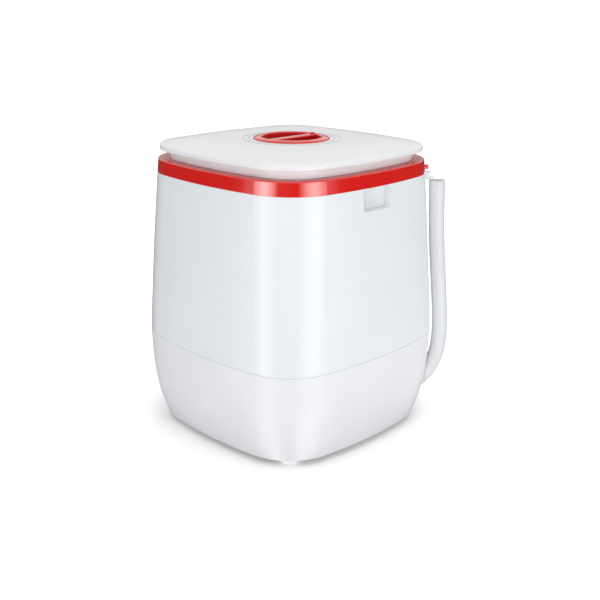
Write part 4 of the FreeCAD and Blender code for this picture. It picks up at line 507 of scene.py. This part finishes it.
# Deeper red painted in the dish as the shade of its walls
DISH_PAINTED_SHADE_COLOUR = (0.48, 0.002, 0.002)
DISH_ROUGHNESS = 0.50
RIM_ROUGHNESS = 0.20
RIM_COAT = 0.65
knob_plastic = plastic("knob_plastic", colour=(0.74, 0.010, 0.006), shade=(0.71, 0.008, 0.005),
                       roughness=RIM_ROUGHNESS, grain=(1300.0, 2e-6), peel=(70.0, 1.5e-5), edge=0.0010,
                       rubbed=(0.80, 0.03, 0.02), Specular_IOR_Level=0.2, Coat_Roughness=0.10)
knob_tree = knob_plastic.node_tree
knob_shader = knob_tree.nodes["Principled BSDF"]
knob_place = put(knob_tree, "TexCoord").outputs["Object"]
knob_height = put(knob_tree, "SeparateXYZ", {0: knob_place}).outputs["Z"]
knob_flat = put(knob_tree, "VectorMath", {0: knob_place, 1: (1.0, 1.0, 0.0)},
                operation="MULTIPLY").outputs[0]
knob_reach = put(knob_tree, "VectorMath", {0: knob_flat}, operation="LENGTH").outputs["Value"]
knob_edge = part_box("lock_knob")[1]
high_polish_unshaded = ramp(knob_tree, knob_height, knob_edge.z - DISH_SHADE_AND_DULL_DEPTH, knob_edge.z - RIM_SHINE_DEPTH)
rim_polish_unshaded = ramp(knob_tree, knob_reach, knob_edge.x - DISH_SHADE_AND_DULL_INSET, knob_edge.x - RIM_SHINE_INSET)
knob_polish_unshaded = sums(knob_tree, "MAXIMUM", high_polish_unshaded, rim_polish_unshaded)
knob_body = knob_shader.inputs["Base Color"].links[0].from_socket
# Painted shade: below the polished rim the dish takes the deeper red
knob_body = blend_colours(knob_tree, knob_polish_unshaded, rgb(DISH_PAINTED_SHADE_COLOUR), knob_body)
knob_tree.links.new(knob_body, knob_shader.inputs["Base Color"])
knob_dull = sums(knob_tree, "ADD", knob_shader.inputs["Roughness"].links[0].from_socket,
                 ramp(knob_tree, knob_polish_unshaded, 0.0, 1.0, DISH_ROUGHNESS - RIM_ROUGHNESS, 0.0))
knob_tree.links.new(knob_dull, knob_shader.inputs["Roughness"])
knob_tree.links.new(sums(knob_tree, "MULTIPLY", knob_polish_unshaded, RIM_COAT), knob_shader.inputs["Coat Weight"])
dress(knob_plastic, "lock_knob")
dress(zinc_steel, "cam_screw")


# Studio: a white table under an even sky, a soft lamp behind the camera, one at the right and one above,
# and two bright cards on the table, in front and at the right, that lift the base.
# A low round screen stands for the dark room and its bright cards, and only reflections see it.

TABLE_HALF = 9.0
TABLE_COLOUR = (0.88, 0.88, 0.88)
TABLE_GLOW_NEAR = 0.22
TABLE_GLOW_FAR = 0.80
TABLE_GLOW_RADII = (0.20, 0.36)
SKY_COLOUR = (0.60, 0.605, 0.62)
WHITE = (1.0, 1.0, 1.0)


def stage_piece(name, shape):
    """Put a finished mesh in the studio with a bare material, and return the object and its node tree."""
    mesh = bpy.data.meshes.new(name)
    shape.to_mesh(mesh)
    shape.free()
    piece = bpy.data.objects.new(name, mesh)
    bpy.context.scene.collection.objects.link(piece)
    material = bpy.data.materials.new(name)
    material.use_nodes = True
    material.node_tree.nodes.remove(material.node_tree.nodes["Principled BSDF"])
    mesh.materials.append(material)
    return piece, material.node_tree


def seen_share(tree):
    """One for rays that look at the background, direct, mirrored or through, and none for lighting rays."""
    path = put(tree, "LightPath").outputs
    look = sums(tree, "ADD", path["Is Camera Ray"], path["Is Glossy Ray"])
    return sums(tree, "ADD", look, path["Is Transmission Ray"], clamp=True)


table_shape = bmesh.new()
bmesh.ops.create_grid(table_shape, x_segments=1, y_segments=1, size=TABLE_HALF)
_, table_tree = stage_piece("table", table_shape)
table_place = put(table_tree, "TexCoord").outputs["Object"]
table_reach = put(table_tree, "VectorMath", {0: table_place}, operation="LENGTH").outputs["Value"]
table_glow = ramp(table_tree, table_reach, *TABLE_GLOW_RADII, TABLE_GLOW_NEAR, TABLE_GLOW_FAR)
table_glow = sums(table_tree, "MULTIPLY", seen_share(table_tree), table_glow)
table_top = put(table_tree, "BsdfDiffuse", {"Color": rgb(TABLE_COLOUR)})
table_light = put(table_tree, "Emission", {"Strength": table_glow})
table_both = put(table_tree, "AddShader", {0: table_top.outputs[0], 1: table_light.outputs[0]})
table_tree.links.new(table_both.outputs[0], table_tree.nodes["Material Output"].inputs["Surface"])

world = bpy.data.worlds.new("studio")
bpy.context.scene.world = world
world.use_nodes = True
sky = world.node_tree
sky_light = sky.nodes["Background"]
sky_light.inputs["Color"].default_value = rgb(SKY_COLOUR)
sky_white = put(sky, "Background", {"Color": rgb(WHITE)})
sky_both = put(sky, "MixShader", {0: seen_share(sky), 1: sky_light.outputs[0], 2: sky_white.outputs[0]})
sky.links.new(sky_both.outputs[0], sky.nodes["World Output"].inputs["Surface"])


def soft_lamp(name, place, aim, width, power):
    """Square soft box that points at a spot."""
    lamp_data = bpy.data.lights.new(name, "AREA")
    lamp_data.size = width
    lamp_data.energy = power
    lamp = bpy.data.objects.new(name, lamp_data)
    bpy.context.scene.collection.objects.link(lamp)
    lamp.location = place
    lamp.rotation_euler = (Vector(aim) - Vector(place)).to_track_quat("-Z", "Y").to_euler()
    lamp.visible_camera = False
    lamp.visible_glossy = False


BODY_CENTRE = (0.0, 0.0, 0.25)
soft_lamp("front", place=(1.15, -1.75, 0.50), aim=BODY_CENTRE, width=0.9, power=11.0)
soft_lamp("right", place=(2.0, 0.5, 0.50), aim=BODY_CENTRE, width=1.0, power=6.3)
soft_lamp("top", place=(0.15, 0.0, 2.4), aim=BODY_CENTRE, width=1.4, power=15.0)

# Bright cards that lie on the table and shine straight up, given as place to the right and back, and power
TABLE_CARDS = {"right_card": (0.38, 0.18, 0.20), "front_card": (-0.10, -0.38, 0.07)}
TABLE_CARD_WIDTH = 0.28
TABLE_CARD_LIFT = 0.004
for name, (right, back, power) in TABLE_CARDS.items():
    soft_lamp(name, place=(right, back, TABLE_CARD_LIFT), aim=(right, back, 1.0), width=TABLE_CARD_WIDTH,
              power=power)

# Reflection screen: a floor and a low wall round the near corner, grey, with upright bright cards
# given as bearing and half width in degrees, and glow
SCREEN_CENTRE = (0.13, -0.13, 0.001)
SCREEN_RADIUS = 2.5
SCREEN_HEIGHT = 0.75
SCREEN_GREY = 0.07
SCREEN_CARDS = ((-97.0, 28.0, 5.6), (2.0, 32.0, 4.7))
SCREEN_CARD_CORE = 0.15
screen_shape = bmesh.new()
screen_hub = screen_shape.verts.new((0.0, 0.0, 0.0))
screen_edge = screen_shape.verts.new((SCREEN_RADIUS, 0.0, 0.0))
screen_top = screen_shape.verts.new((SCREEN_RADIUS, 0.0, SCREEN_HEIGHT))
screen_ends = ((screen_hub, screen_edge), (screen_edge, screen_top))
screen_line = [screen_shape.edges.new(ends) for ends in screen_ends]
bmesh.ops.spin(screen_shape, geom=[screen_hub, screen_edge, screen_top, *screen_line], cent=(0.0, 0.0, 0.0),
               axis=(0.0, 0.0, 1.0), angle=math.tau, steps=72, use_merge=True)
bmesh.ops.remove_doubles(screen_shape, verts=screen_shape.verts, dist=1e-5)
screen, screen_tree = stage_piece("reflection_screen", screen_shape)
screen.location = SCREEN_CENTRE
screen.visible_camera = False
screen.visible_diffuse = False
screen.visible_shadow = False
screen.visible_transmission = False
screen_place = put(screen_tree, "SeparateXYZ", {0: put(screen_tree, "TexCoord").outputs["Object"]}).outputs
screen_bearing = sums(screen_tree, "ARCTAN2", screen_place["Y"], screen_place["X"])
screen_glow = SCREEN_GREY
for bearing, spread, glow in SCREEN_CARDS:
    aside = sums(screen_tree, "SUBTRACT", screen_bearing, math.radians(bearing))
    aside = put(screen_tree, "Math", {0: aside, 1: -math.pi, 2: math.pi}, operation="WRAP").outputs[0]
    aside = sums(screen_tree, "ABSOLUTE", aside)
    reach = math.radians(spread)
    card = ramp(screen_tree, aside, reach * SCREEN_CARD_CORE, reach, glow, SCREEN_GREY)
    screen_glow = sums(screen_tree, "MAXIMUM", card, screen_glow)
screen_light = put(screen_tree, "Emission", {"Strength": screen_glow})
screen_tree.links.new(screen_light.outputs[0], screen_tree.nodes["Material Output"].inputs["Surface"])

# Camera: set from the outlines in the photograph, with its axes to the right and upward, and its place
CAMERA_SENSOR = 36.0
CAMERA_LENS = 57.269
across = Vector((0.708850, 0.705322, 0.007186))
upward = Vector((-0.222615, 0.214038, 0.951121))
stand = Vector((1.00225, -0.99157, 0.64288))
camera_data = bpy.data.cameras.new("camera")
camera_data.sensor_width = CAMERA_SENSOR
camera_data.lens = CAMERA_LENS
camera = bpy.data.objects.new("camera", camera_data)
bpy.context.scene.collection.objects.link(camera)
bpy.context.scene.camera = camera
camera.matrix_world = Matrix((across, upward, across.cross(upward))).transposed().to_4x4()
camera.location = stand
bpy.context.scene.view_settings.view_transform = "Standard"
